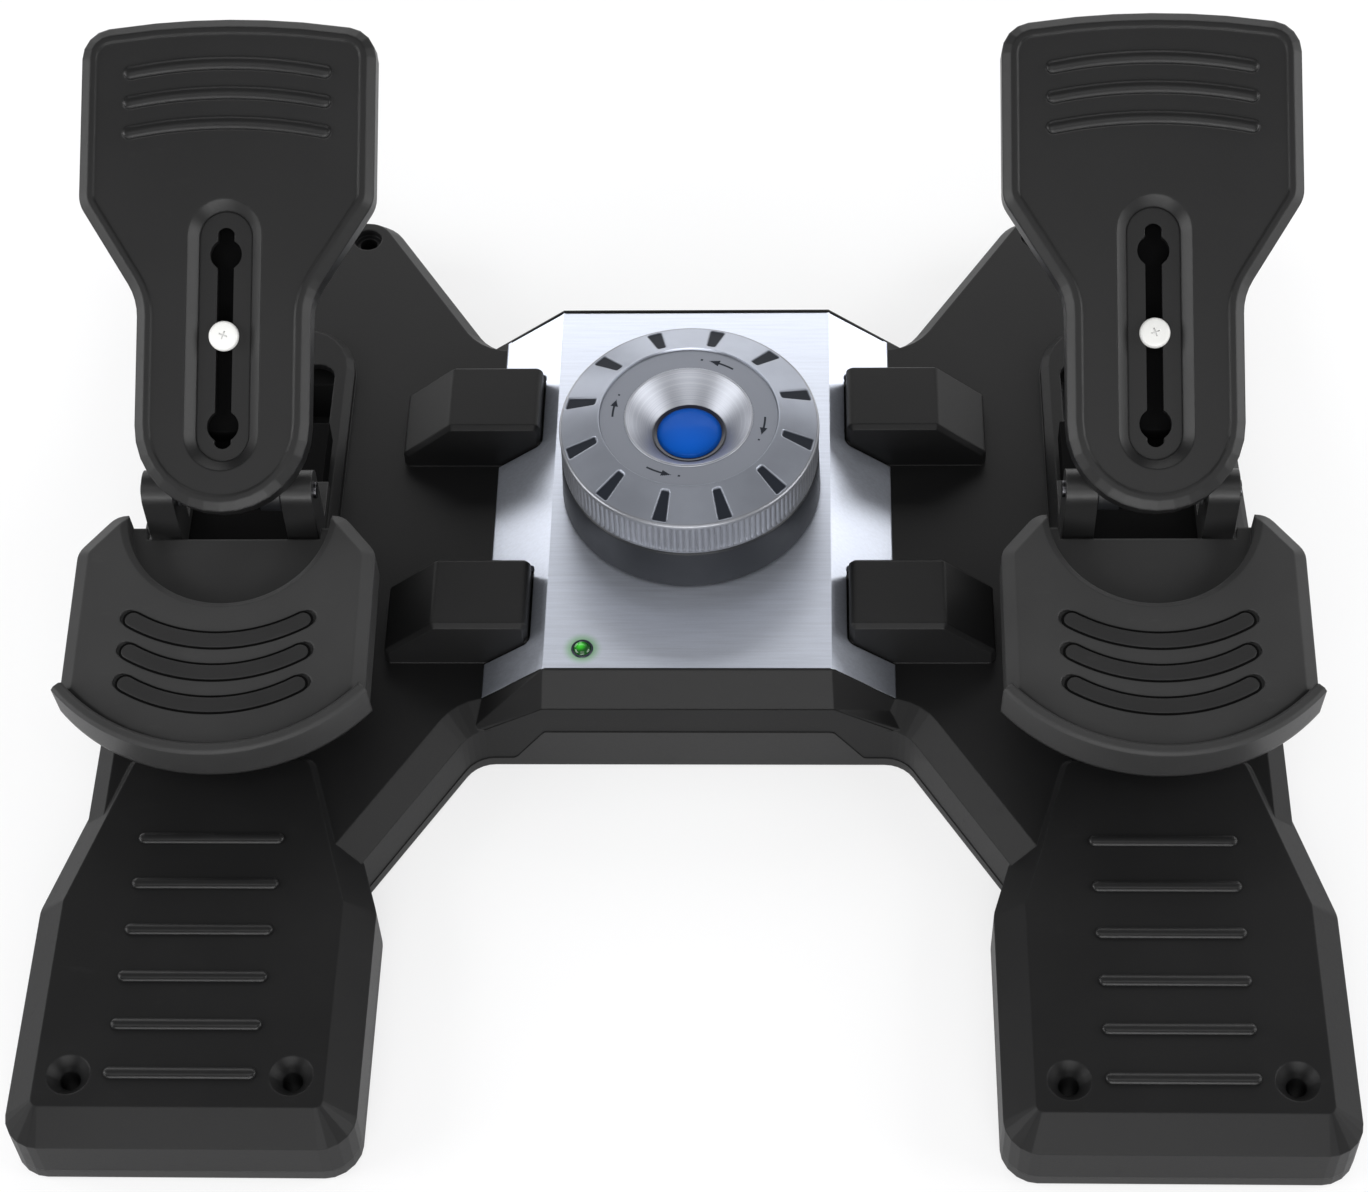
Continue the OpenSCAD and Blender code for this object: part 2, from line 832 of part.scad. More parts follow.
// Space that a side housing takes out of the panel, with a round relief at its inner rear corner
module housing_keep(y, d) {
    translate([0, 0, slab_h - join])
    linear_extrude(ridge_h)
    union() {
        polygon([for (p = rounded([
            [block_in - d, y - block_w / 2 - d, d > 0 ? notch_r : 0],
            [block_out + over, y - block_w / 2 - d, 0],
            [block_out + over, y + block_w / 2 + d, 0],
            [block_in - d, y + block_w / 2 + d, d > 0 ? notch_r : 0]], 5)) flat(p)]);
        if (d > 0)
            translate([block_in - d + notch_ear_r, y + block_w / 2 + d])
            circle(r = notch_ear_r, $fn = 32);
    }
}

// Metal sheet bent over the ridge, with a notch round each side housing
module centre_panel() {
    color([0.66, 0.69, 0.76])
    difference() {
        panel_sheet();
        both_sides() for (y = block_ys) housing_keep(y, notch_gap);
        translate([0, mech_y, slab_h])
        cylinder(h = ridge_h, r = spindle_r + fit, $fn = smooth);
        translate([-light_x, light_y, slab_h])
        cylinder(h = ridge_h, r = light_r + fit, $fn = smooth);
    }
}

// Domed lens of the power light, held under the panel by its flange
module power_light() {
    color([0.05, 0.35, 0.06])
    translate([-light_x, light_y, ridge_h - panel_t - wall_t])
    rotate_extrude($fn = smooth)
    polygon(concat(
        [[0, 0], [light_flange_r, 0], [light_flange_r, wall_t], [light_r, wall_t]],
        [for (i = [0 : 5]) [light_r * cos(i * 18), wall_t + panel_t + light_h * sin(i * 18)]]));
}
module light_board() {
    color([0.05, 0.3, 0.15])
    translate([-light_x, light_y, ridge_h - panel_t - wall_t - board_t])
    block([-light_board_half, -light_board_half, 0], [light_board_half, light_board_half, board_t]);
}
module main_board() {
    color([0.05, 0.3, 0.15])
    translate([0, board_front, board_z])
    union() {
        block([-board_half, 0, 0], [board_half, board_d, board_t]);
        translate([-board_half * chip_share[0], board_d * chip_share[0], board_t - join])
        cube([board_half * chip_share[1], board_d * chip_share[1], chip_t + join]);
        for (x = [-1, 1]) for (y = [board_leg_r, board_d - board_leg_r])
            translate([x * (board_half - board_leg_r), y, inner_z - board_z])
            cylinder(h = board_z - inner_z + join, r = board_leg_r, $fn = 24);
    }
}
module rubber_feet() {
    color([0.04, 0.04, 0.04])
    both_sides()
    for (p = foot_places)
        translate([p.x, p.y, 0])
        cylinder(h = cover_z + foot_sunk, r = foot_r, $fn = smooth);
}
module cover_screws() {
    color([0.5, 0.5, 0.52])
    both_sides()
    for (p = screw_places)
        translate([p.x, p.y, cover_z])
        union() {
            cylinder(h = screw_head_h, r = screw_head_r, $fn = 24);
            cylinder(h = screw_len - cover_z, r = screw_r - fit * 2, $fn = 24);
        }
}
module cable_bushing() {
    color([0.06, 0.06, 0.06])
    translate([0, back_y, bushing_z])
    rotate([-90, 0, 0])
    difference() {
        union() {
            translate([0, 0, -bushing_in])
            cylinder(h = bushing_in + join, r = bushing_r - fit, $fn = smooth);
            cylinder(h = bushing_flange_t, r = bushing_flange_r, $fn = smooth);
        }
        translate([0, 0, -bushing_in - over])
        cylinder(h = bushing_in + bushing_flange_t + over * 2, r = lead_r, $fn = smooth);
    }
}

// Steel rods under each leg, and the blocks that hold their ends
module rod_places() {
    for (s = [-1, 1])
        translate([s * rod_half, 0, rod_z])
        rotate([90, 0, 0])
        children();
}
module guide_rods() {
    color([0.75, 0.76, 0.78])
    at_pedal()
    rod_places()
    cylinder(h = 2 * (rod_reach + rod_end), r = rod_r, center = true, $fn = 32);
}
module rod_blocks() {
    color([0.1, 0.1, 0.11])
    at_pedal()
    for (s = [-1, 1])
        difference() {
            block([-slider_half, s * (rod_reach + rod_end / 2) - rod_end / 2, inner_z],
                [slider_half, s * (rod_reach + rod_end / 2) + rod_end / 2, slider_top]);
            rod_places()
            cylinder(h = 3 * rod_reach, r = rod_r + fit, center = true, $fn = 32);
        }
}

// Post, ring sensor and centring spring of the rocker
module pivot_post() {
    color([0.6, 0.61, 0.63])
    translate([0, mech_y, inner_z])
    cylinder(h = post_top - inner_z, r = post_r, $fn = smooth);
}
module rudder_sensor() {
    color([0.15, 0.25, 0.45])
    translate([0, mech_y, inner_z])
    difference() {
        union() {
            cylinder(h = sensor_top - inner_z, r = sensor_r, $fn = smooth);
            block([-post_r, sensor_r - join * 2, 0], [post_r, sensor_r + post_r, sensor_top - inner_z]);
        }
        translate([0, 0, -over])
        cylinder(h = sensor_top, r = post_r + gap, $fn = smooth);
    }
}
module rocker_outline(half, w) {
    block([-half, -w / 2, rocker_z], [half, w / 2, rocker_top]);
    for (s = [-1, 1])
        translate([s * half, 0, rocker_z])
        cylinder(h = rocker_top - rocker_z, d = w, $fn = smooth);
}
module rocker_slot() {
    w = drive_pin_r + rocker_slot_gap;
    block([rocker_slot_in, -w, rocker_z - over], [rocker_slot_out, w, rocker_top + over]);
    for (x = [rocker_slot_in, rocker_slot_out])
        translate([x, 0, rocker_z - over])
        cylinder(h = rocker_top - rocker_z + over * 2, r = w, $fn = smooth);
}
module rocker() {
    color([0.85, 0.85, 0.82])
    translate([0, mech_y, 0])
    difference() {
        union() {
            rocker_outline(rocker_slot_out - rocker_end, rocker_w);
            translate([0, 0, rocker_hub_z])
            cylinder(h = rocker_hub_top - rocker_hub_z, r = rocker_hub_r, $fn = smooth);
        }
        translate([0, 0, rocker_hub_z - over])
        cylinder(h = rocker_hub_top, r = post_r + bush_t + fit, $fn = smooth);
        both_sides() rocker_slot();
    }
}
module rocker_bush() {
    color([0.72, 0.55, 0.25])
    translate([0, mech_y, rocker_hub_z])
    difference() {
        cylinder(h = rocker_hub_top - rocker_hub_z, r = post_r + bush_t, $fn = smooth);
        translate([0, 0, -over])
        cylinder(h = rocker_hub_top, r = post_r + fit, $fn = smooth);
    }
}

// Points of a coil about Z that starts and ends with a straight piece as long as the wire is thick
function coil_path(r, wire, turns, pitch) = concat(
    [[r, -wire * 2, 0]],
    [for (i = [0 : turns * 8]) [r * cos(i * 45), r * sin(i * 45), pitch * i / 8]],
    [[r, wire * 2, pitch * turns]]);
module centring_spring() {
    color([0.7, 0.71, 0.73])
    translate([0, mech_y, rocker_hub_top + gap + spring_wire / 2])
    tube(coil_path(spring_r, spring_wire, spring_turns, spring_pitch), spring_wire / 2);
}
echo(centring_spring_gap = spring_pitch * cos(22.5) - spring_wire);
echo(brake_spring_gap = brake_pitch * cos(22.5) - brake_wire);
module friction_disc() {
    color([0.35, 0.3, 0.25])
    translate([0, mech_y, disc_z])
    difference() {
        cylinder(h = disc_t, r = disc_r, $fn = smooth);
        translate([0, 0, disc_t / 2])
        cylinder(h = disc_t, r = spindle_r + fit, $fn = smooth);
    }
}

// Tension knob: spindle, dark skirt, knurled cap, dish and blue centre
module at_knob(z) {
    translate([0, mech_y, ridge_h + z])
    children();
}
module knob_spindle() {
    color([0.6, 0.61, 0.63])
    translate([0, mech_y, disc_z + disc_t / 2])
    cylinder(h = ridge_h + knurl_z - disc_z - disc_t / 2, r = spindle_r, $fn = smooth);
}
module knob_skirt() {
    color([0.2, 0.21, 0.23])
    at_knob(0)
    difference() {
        translate([0, 0, knob_gap])
        cylinder(h = skirt_top - knob_gap, r1 = knob_r + skirt_flare, r2 = knob_r, $fn = fine);
        translate([0, 0, -over])
        cylinder(h = skirt_top - cap_wall + over, r = knob_r - cap_wall, $fn = fine);
        cylinder(h = skirt_top + over, r = spindle_r + fit, $fn = smooth);
    }
}
module knurl_ring() {
    linear_extrude(knurl_top - knurl_z)
    polygon([for (i = [0 : 2 * knurl_n - 1])
        let (a = 180 * i / knurl_n, r = knob_r - knurl_in - (i % 2) * knurl_d)
        [r * cos(a), r * sin(a)]]);
}
module wedge_mark() {
    polygon([[mark_in, -mark_w_in / 2], [mark_in + mark_len, -mark_w_out / 2],
        [mark_in + mark_len, mark_w_out / 2], [mark_in, mark_w_in / 2]]);
}
module knob_cap() {
    color([0.72, 0.74, 0.78])
    at_knob(0)
    difference() {
        union() {
            translate([0, 0, skirt_top])
            cylinder(h = knurl_top + join - skirt_top, r = knob_r - knurl_in * 2 - knurl_d, $fn = fine);
            translate([0, 0, knurl_z])
            knurl_ring();
            translate([0, 0, knurl_top])
            cylinder(h = knob_h - cap_fall - knurl_top - cap_edge, r = knob_r, $fn = fine);
            translate([0, 0, knob_h - cap_fall - cap_edge])
            cylinder(h = cap_edge, r1 = knob_r, r2 = knob_r - cap_edge, $fn = fine);
            translate([0, 0, knob_h - cap_fall])
            cylinder(h = cap_fall, r1 = knob_r - cap_edge, r2 = cone_in, $fn = fine);
        }
        translate([0, 0, knob_h - ring_step])
        cylinder(h = ring_step + over, r = ring_in, $fn = fine);
        translate([0, 0, knob_h - dish_d - cap_wall])
        cylinder(h = knob_h, r = dish_r + fit, $fn = fine);
        translate([0, 0, skirt_top - over])
        cylinder(h = knurl_z - skirt_top + over, r = spindle_r + fit, $fn = smooth);
        for (i = [0 : mark_n - 1])
            rotate([0, 0, (i + 0.5) * 360 / mark_n])
            translate([cone_in, 0, knob_h])
            rotate([0, cone_slope, 0])
            translate([0, 0, -mark_d])
            linear_extrude(mark_d + over)
            wedge_mark();
    }
}
module knob_dish() {
    dish_top = dish_d + cap_wall - ring_step + dish_rise;
    color([0.8, 0.81, 0.84])
    at_knob(knob_h - dish_d - cap_wall)
    difference() {
        rotate_extrude($fn = fine)
        polygon([[0, 0], [dish_r, 0], [dish_r, dish_top - dish_edge], [dish_r - dish_edge, dish_top],
            [dish_r - dish_lip, dish_top], [dish_floor_r, cap_wall], [0, cap_wall]]);
        translate([0, 0, cap_wall - centre_seat])
        cylinder(h = cap_wall, r = centre_r + fit, $fn = fine);
    }
}
module knob_centre() {
    color([0.02, 0.2, 0.75])
    at_knob(knob_h - dish_d - centre_seat)
    rotate_extrude($fn = fine)
    polygon(concat([[0, 0], [centre_r, 0]],
        [for (i = [0 : 6]) [centre_r * cos(i * 15), centre_seat + centre_rise * sin(i * 15)]]));
}

// Pedal carriage: slider on the rods, post through the slot, deck and sloping seat, drive arm
module carriage() {
    drive_x = mech_r - pedal_x;
    color([0.09, 0.09, 0.1])
    difference() {
        union() {
            at_pedal() {
                block([-slider_half, -slider_len, slider_z], [slider_half, slider_len, slider_top]);
                block([-post_half, -post_len, slider_top - join], [post_half, post_len, deck_z + join]);
                block([drive_x - arm_half, -arm_half, arm_z], [join - slider_half, arm_half, arm_top]);
                translate([drive_x, 0, arm_top - join])
                cylinder(h = drive_pin_top - arm_top + join, r = drive_pin_r, $fn = 32);
            }
            block([pedal_x - deck_half, deck_front, deck_z],
                [pedal_x + deck_half, mech_y + post_len, deck_top]);
            in_heel()
            block([-seat_half, seat_front, -bowl_d - wall_t - seat_t], [seat_half, seat_rear, -bowl_d - wall_t]);
        }
        at_pedal()
        rod_places()
        cylinder(h = 3 * slider_len, r = bush_r + fit, center = true, $fn = 32);
    }
}
module slider_bushes() {
    color([0.72, 0.55, 0.25])
    at_pedal()
    for (s = [-1, 1])
        translate([0, s * (slider_len - bush_len / 2), 0])
        rod_places()
        difference() {
            cylinder(h = bush_len, r = bush_r, center = true, $fn = 32);
            cylinder(h = bush_len * 2, r = rod_r + fit, center = true, $fn = 32);
        }
}

// Heel plate: skirted tray with a round bowl at the rear and an upturned lip at the front
lip_sag = heel_side_front - heel_front;
lip_bend = (pow(heel_half, 2) + pow(lip_sag, 2)) / (2 * lip_sag);
function lip_points(half, bend, front) = [
    for (i = [0 : heel_arc_n])
        let (t = asin(half / bend) * (2 * i / heel_arc_n - 1))
        [bend * sin(t), front + bend - bend * cos(t)]];
heel_outline = concat(
    lip_points(heel_half, lip_bend, heel_front),
    [for (p = rounded([
        [0, 0, 0], [heel_half, 0, 0], [heel_half, heel_corner, heel_corner_r],
        [heel_rear_half, heel_rear, heel_corner_r],
        [-heel_rear_half, heel_rear, heel_corner_r],
        [-heel_half, heel_corner, heel_corner_r], [-heel_half, 0, 0]], 4)) if (norm(flat(p)) > heel_half) flat(p)]);
module heel_lip() {
    outer = heel_half + lip_over;
    bend = lip_bend + lip_over;
    turn = asin(outer / bend);
    translate([0, heel_front - lip_over + bend, -heel_deep + heel_edge_h])
    rotate([0, 0, -90 - turn])
    rotate_extrude(angle = 2 * turn, $fn = fine)
    translate([bend - lip_t, 0])
    polygon([[0, heel_deep - heel_edge_h - wall_t], [lip_t, 0], [lip_t, heel_deep - heel_edge_h + lip_h - lip_t / 4],
        [lip_t * 0.75, heel_deep - heel_edge_h + lip_h], [lip_t / 4, heel_deep - heel_edge_h + lip_h],
        [0, heel_deep - heel_edge_h + lip_h - lip_t / 4]]);
}
module heel_bars(d, up) {
    for (u = grip_us)
        translate([0, u, -d])
        bent_bar(grip_half, grip_bend_r, grip_w, d + up);
}
module heel_plate() {
    color([0.1, 0.1, 0.11])
    in_heel()
    difference() {
        union() {
            difference() {
                bevelled(heel_outline, [[-heel_deep, 0], [-heel_edge_h, 0], [0, heel_edge]]);
                difference() {
                    bevelled(heel_outline, [[-heel_deep - over, wall_t], [-heel_edge_h - wall_t, wall_t],
                        [-wall_t, heel_edge + wall_t]]);
                    translate([0, heel_rear, -bowl_d - wall_t])
                    cylinder(h = bowl_d + wall_t, r = bowl_r + wall_t, $fn = fine);
                    for (s = [-1, 1])
                        translate([s * heel_boss_x, heel_boss_u, -bowl_d - wall_t])
                        cylinder(h = bowl_d + wall_t, r = heel_boss_r, $fn = 32);
                }
            }
            heel_lip();
        }
        block([-ear_in - ear_w - over, heel_notch, -heel_deep - over],
            [ear_in + ear_w + over, heel_rear + over, over]);
        translate([0, heel_rear, -bowl_d])
        cylinder(h = bowl_d + over, r = bowl_r, $fn = fine);
        translate([0, heel_rear, -bowl_rim_d])
        cylinder(h = bowl_rim_d + over, r1 = bowl_r, r2 = bowl_r + bowl_rim * (bowl_rim_d + over) / bowl_rim_d,
            $fn = fine);
        heel_bars(grip_d, over);
    }
}
module heel_grips() {
    color([0.05, 0.05, 0.055])
    in_heel()
    for (u = grip_us)
        translate([0, u, -grip_d])
        bent_bar(grip_half, grip_bend_r, grip_w - gap * 2, grip_d + grip_up);
}

// Hinge of the toe arm: two brackets on the deck, screws and pin
module hinge_brackets() {
    color([0.07, 0.07, 0.08])
    for (s = [-1, 1])
        at_hinge()
        difference() {
            union() {
                block([min(s * ear_in, s * (ear_in + ear_w)), -ear_r, deck_top - hinge_z],
                    [max(s * ear_in, s * (ear_in + ear_w)), ear_r, 0]);
                translate([s * (ear_in + ear_w / 2), 0, 0])
                rotate([0, 90, 0])
                cylinder(h = ear_w, r = ear_r, center = true, $fn = smooth);
                block([min(s * ear_in, s * (ear_in + ear_w)), 0, deck_top - hinge_z],
                    [max(s * ear_in, s * (ear_in + ear_w)), ear_r + flange_len, deck_top - hinge_z + flange_t]);
            }
            rotate([0, 90, 0])
            cylinder(h = 4 * ear_in, r = pin_r + fit, center = true, $fn = smooth);
        }
}
module bracket_screws() {
    color([0.45, 0.45, 0.47])
    for (s = [-1, 1])
        translate([pedal_x + s * (ear_in + ear_w / 2), hinge_y + ear_r + flange_len / 2, deck_top + flange_t])
        difference() {
            cylinder(h = bracket_screw_h, r = bracket_screw_r, $fn = 24);
            for (a = [0, 90])
                rotate([0, 0, a])
                translate([0, 0, bracket_screw_h])
                cube([bracket_screw_r * 1.3, bracket_screw_r * 0.25, bracket_screw_h], center = true);
        }
}
module hinge_pin() {
    color([0.7, 0.71, 0.73])
    at_hinge()
    rotate([0, 90, 0])
    cylinder(h = 2 * (ear_in + ear_w + pin_over), r = pin_r, center = true, $fn = smooth);
}

// Lever behind the toe plate, with its barrel round the pin
module toe_arm() {
    face = -well_d - toe_skin - gap;
    color([0.12, 0.12, 0.13])
    in_toe()
    difference() {
        union() {
            along_x(-toe_arm_half, toe_arm_half)
            polygon([[toe_arm_end, face], [toe_arm_low + toe_arm_step, face], [toe_arm_low, -toe_deep - gap * 4],
                [hinge_u + barrel_r, -toe_deep - gap * 4], [hinge_u + barrel_r / 2, hinge_w],
                [hinge_u + barrel_r * 1.15, hinge_w - barrel_r / 2], [toe_arm_low + toe_arm_root, face - toe_arm_t * 1.5],
                [toe_arm_end, face - toe_arm_t]]);
            translate([0, hinge_u, hinge_w])
            rotate([0, 90, 0])
            cylinder(h = 2 * barrel_half, r = barrel_r, center = true, $fn = smooth);
        }
        translate([0, hinge_u, hinge_w])
        rotate([0, 90, 0])
        cylinder(h = 4 * barrel_half, r = pin_r + fit, center = true, $fn = smooth);
        arm_relief(1);
        arm_relief(-1);
        cylinder(h = 6 * toe_arm_t, r = clamp_shank_r + fit, center = true, $fn = smooth);
    }
}

// Room beside the barrel for the spring and the sensor
module arm_relief(side) {
    translate([side * (barrel_half + ear_in / 2), hinge_u, hinge_w])
    rotate([0, 90, 0])
    cylinder(h = ear_in, r = brake_sensor_r + relief_gap, center = true, $fn = smooth);
}
module brake_spring() {
    color([0.7, 0.71, 0.73])
    at_hinge()
    translate([brake_spring_in, 0, 0])
    rotate([0, 90, 0])
    tube(coil_path(brake_spring_r, brake_wire, brake_spring_turns, brake_pitch), brake_wire / 2);
}
module brake_sensor() {
    color([0.15, 0.25, 0.45])
    at_hinge()
    translate([-ear_in + gap / 3, 0, 0])
    rotate([0, 90, 0])
    difference() {
        cylinder(h = ear_in - barrel_half - gap * 2, r = brake_sensor_r, $fn = smooth);
        translate([0, 0, -over])
        cylinder(h = ear_in, r = pin_r + fit * 2, $fn = smooth);
    }
}

// Toe plate: arched top, narrow neck and round foot, as one outline
toe_bend = (pow(toe_half, 2) + pow(toe_top_sag, 2)) / (2 * toe_top_sag);
toe_corner_u = toe_top - toe_top_sag;
toe_arch = [for (i = [1 : 7])
    let (t = asin(toe_half / toe_bend) * (1 - i / 4))
    [toe_bend * sin(t), toe_top - toe_bend + toe_bend * cos(t)]];
toe_foot = [for (i = [0 : 16]) let (t = 180 + i * 180 / 16) [neck_half * cos(t), toe_low + neck_half * sin(t)]];
toe_outline = concat(
    toe_foot,
    [for (p = corner([neck_half, toe_low], [neck_half, toe_neck], [toe_half, toe_side_low], toe_side_r, 4)) p],
    [for (p = corner([neck_half, toe_neck], [toe_half, toe_side_low], [toe_half, toe_corner_u], toe_top_r, 4)) p],
    [for (p = corner([toe_half, toe_side_low], [toe_half, toe_corner_u], toe_arch[0], toe_top_r, 4)) p],
    [for (i = [1 : 5]) toe_arch[i]],
    [for (p = corner(toe_arch[6], [-toe_half, toe_corner_u], [-toe_half, toe_side_low], toe_top_r, 4)) p],
    [for (p = corner([-toe_half, toe_corner_u], [-toe_half, toe_side_low], [-neck_half, toe_neck], toe_top_r, 4)) p],
    [for (p = corner([-toe_half, toe_side_low], [-neck_half, toe_neck], [-neck_half, toe_low], toe_side_r, 4)) p]);
module stadium(half, low, high, z0, z1) {
    translate([0, 0, z0])
    linear_extrude(z1 - z0)
    union() {
        translate([-half, low + half])
        square([2 * half, high - low - 2 * half]);
        for (u = [low + half, high - half]) translate([0, u]) circle(r = half, $fn = smooth);
    }
}
module toe_ribs() {
    for (u = toe_rib_us)
        translate([0, u, -toe_face_d - join])
        rotate([0, 0, 180])
        bent_bar(toe_rib_half, toe_rib_bend_r, toe_rib_w, toe_rib_h + join);
}
module keyhole() {
    translate([0, 0, -toe_deep])
    linear_extrude(toe_deep)
    union() {
        translate([-keyslot_half, lobe_us[1]])
        square([2 * keyslot_half, lobe_us[0] - lobe_us[1]]);
        for (u = key_us) translate([0, u]) circle(r = key_r, $fn = smooth);
        for (u = lobe_us) translate([0, u]) circle(r = lobe_r, $fn = 32);
    }
}
module toe_plate() {
    color([0.11, 0.11, 0.12])
    in_toe()
    difference() {
        union() {
            difference() {
                bevelled(toe_outline, [[-toe_deep, 0], [-toe_edge_h, 0], [0, toe_edge]]);
                bevelled(toe_outline, [[-toe_deep - over, wall_t], [-toe_skin, wall_t]]);
                bevelled(toe_outline, [[-toe_face_d, toe_face_in], [over, toe_face_in]]);
            }
            toe_ribs();
            stadium(well_half + wall_t, well_low - wall_t, well_top + wall_t, -well_d - toe_skin, -toe_face_d - join);
        }
        stadium(well_half, well_low, well_top, -well_d, over);
        keyhole();
    }
}

// White screw that clamps the toe plate to its arm
module clamp_screw() {
    color([0.92, 0.92, 0.9])
    in_toe()
    difference() {
        union() {
            translate([0, 0, -well_d + gap])
            cylinder(h = clamp_h, r = clamp_r, $fn = smooth);
            translate([0, 0, -well_d - toe_skin - gap - toe_arm_t])
            cylinder(h = toe_skin + gap * 2 + toe_arm_t + join, r = clamp_shank_r, $fn = 32);
        }
        for (a = [0, 90])
            rotate([0, 0, a])
            translate([0, 0, clamp_h + gap - well_d])
            cube([clamp_r, clamp_slot_w, clamp_slot_d * 2], center = true);
    }
}

bottom_cover();
upper_shell();
centre_panel();
power_light();
light_board();
main_board();
rubber_feet();
cover_screws();
cable_bushing();
on_side(-1) guide_rods();  // left_guide_rods
on_side(1) guide_rods();  // right_guide_rods
on_side(-1) rod_blocks();  // left_rod_blocks
on_side(1) rod_blocks();  // right_rod_blocks
pivot_post();
rudder_sensor();
rocker();
rocker_bush();
centring_spring();
friction_disc();
knob_spindle();
knob_cap();
knob_skirt();
knob_dish();
knob_centre();
on_side(-1) carriage();  // left_carriage
on_side(1) carriage();  // right_carriage
on_side(-1) slider_bushes();  // left_slider_bushes
on_side(1) slider_bushes();  // right_slider_bushes
on_side(-1) heel_plate();  // left_heel_plate
on_side(1) heel_plate();  // right_heel_plate
on_side(-1) heel_grips();  // left_heel_grips
on_side(1) heel_grips();  // right_heel_grips
on_side(-1) hinge_brackets();  // left_hinge_brackets
on_side(1) hinge_brackets();  // right_hinge_brackets
on_side(-1) bracket_screws();  // left_bracket_screws
on_side(1) bracket_screws();  // right_bracket_screws
on_side(-1) hinge_pin();  // left_hinge_pin
on_side(1) hinge_pin();  // right_hinge_pin
on_side(-1) toe_arm();  // left_toe_arm
on_side(1) toe_arm();  // right_toe_arm
on_side(-1) brake_spring();  // left_brake_spring
on_side(1) brake_spring();  // right_brake_spring
on_side(-1) brake_sensor();  // left_brake_sensor
on_side(1) brake_sensor();  // right_brake_sensor
on_side(-1) toe_plate();  // left_toe_plate
on_side(1) toe_plate();  // right_toe_plate
on_side(-1) clamp_screw();  // left_clamp_screw
on_side(1) clamp_screw();  // right_clamp_screw
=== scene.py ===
"""Dresses the rudder pedals: finishes for every moulded and turned piece, the fine forms of the knob,
ribs, grips, screws and springs, and a plain stage with soft studio light."""

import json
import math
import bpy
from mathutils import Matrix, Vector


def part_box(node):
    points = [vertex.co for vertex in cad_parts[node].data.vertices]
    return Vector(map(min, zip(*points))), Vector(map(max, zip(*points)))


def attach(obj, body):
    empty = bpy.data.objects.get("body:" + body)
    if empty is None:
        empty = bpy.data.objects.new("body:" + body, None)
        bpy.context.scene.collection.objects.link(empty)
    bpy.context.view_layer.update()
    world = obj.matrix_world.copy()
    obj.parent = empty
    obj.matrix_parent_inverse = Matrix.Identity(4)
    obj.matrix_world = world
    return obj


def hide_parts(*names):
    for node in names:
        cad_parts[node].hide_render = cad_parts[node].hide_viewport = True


bl_info = {
    "name": "Rudder pedals",
    "version": (1, 0, 0),
    "blender": (4, 5, 0),
    "location": "View3D > Sidebar > Pedals",
    "description": "Finishes and fine pieces for a set of flight simulator rudder pedals",
    "category": "Object",
}

import bmesh
import bpy
import numpy as np
from mathutils import Matrix, Vector

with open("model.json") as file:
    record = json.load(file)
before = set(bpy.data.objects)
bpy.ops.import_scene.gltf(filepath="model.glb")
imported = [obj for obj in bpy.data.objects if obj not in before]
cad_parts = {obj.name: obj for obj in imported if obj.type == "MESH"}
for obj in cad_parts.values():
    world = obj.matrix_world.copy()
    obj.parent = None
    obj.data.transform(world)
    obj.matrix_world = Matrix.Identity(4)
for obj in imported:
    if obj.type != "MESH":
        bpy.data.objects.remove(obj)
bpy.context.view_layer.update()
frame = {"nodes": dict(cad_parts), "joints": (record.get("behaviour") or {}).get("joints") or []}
MM = 0.001
SIDES = (("left", -1.0), ("right", 1.0))


# Places that come from the frame

def middle(node):
    """Centre of a node's box."""
    low, high = (np.array(c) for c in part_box(node))
    return (low + high) / 2


def joint_place(name):
    """Position of a joint at rest."""
    return np.array(next(j["pos_m"] for j in frame["joints"] if j["name"] == name))


def low_of(node):
    """Lowest corner of a node's box."""
    return np.array(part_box(node)[0])


def high_of(node):
    """Highest corner of a node's box."""
    return np.array(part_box(node)[1])


# Knob: its axis and radius, the levels of its lower ring's top, its band, its rim and its top, and the
# radius where its cone ends inside
PANEL_TOP = float(high_of("centre_panel")[2])
KNOB_AT = (*middle("knob_cap")[:2], 0.0)
KNOB_R, CONE_R = 46.2 * MM, 32.1 * MM
SKIRT_TOP, BAND_LOW, BAND_HIGH, RIM, KNOB_TOP = (PANEL_TOP + h * MM for h in (18.7, 19.8, 32.2, 34, 39))

# Marks of the knob's cone: middle radius, half length, corner radius, turn of the first one, and the half
# width at a place inside the middle with its growth from there
MARK_R, MARK_HALF, MARK_CORNER, MARK_TURN = 39.3 * MM, 4.6 * MM, 0.8 * MM, 0.045
MARK_WIDE, MARK_INSIDE, MARK_GROWTH = 1.55 * MM, 5.2 * MM, 0.11

# Arrows of the flat ring: radius, half widths of line and head, and the angles where each starts and ends
ARROW_R, ARROW_LINE, ARROW_HEAD = 27 * MM, 0.36 * MM, 1.35 * MM
ARROWS = ((0.96, 1.31), (0.0, -0.31), (np.pi, np.pi - 0.30), (-2.13, -1.78))

# Right pedal: the points that its sloping plates are drawn from, and their slopes
PEDAL_X = float(middle("right_toe_plate")[0])
HEEL_ORIGIN = np.array([PEDAL_X, -41 * MM, 65.7 * MM])
HEEL_SLOPE = math.radians(8)
TOE_ORIGIN = np.array([PEDAL_X, 58.4 * MM, 120.5 * MM])
TOE_SLOPE = math.radians(31)

# Heel pads: height of their tops, and the places of their six ribs along Y
PAD_TOP = 32 * MM
PAD_RIBS = [(-182 + 17.9 * i) * MM for i in range(6)]

# Toe plates: places of their three arched ribs up the slope
TOE_RIBS = [y * MM for y in (96.8, 86.2, 75.4)]

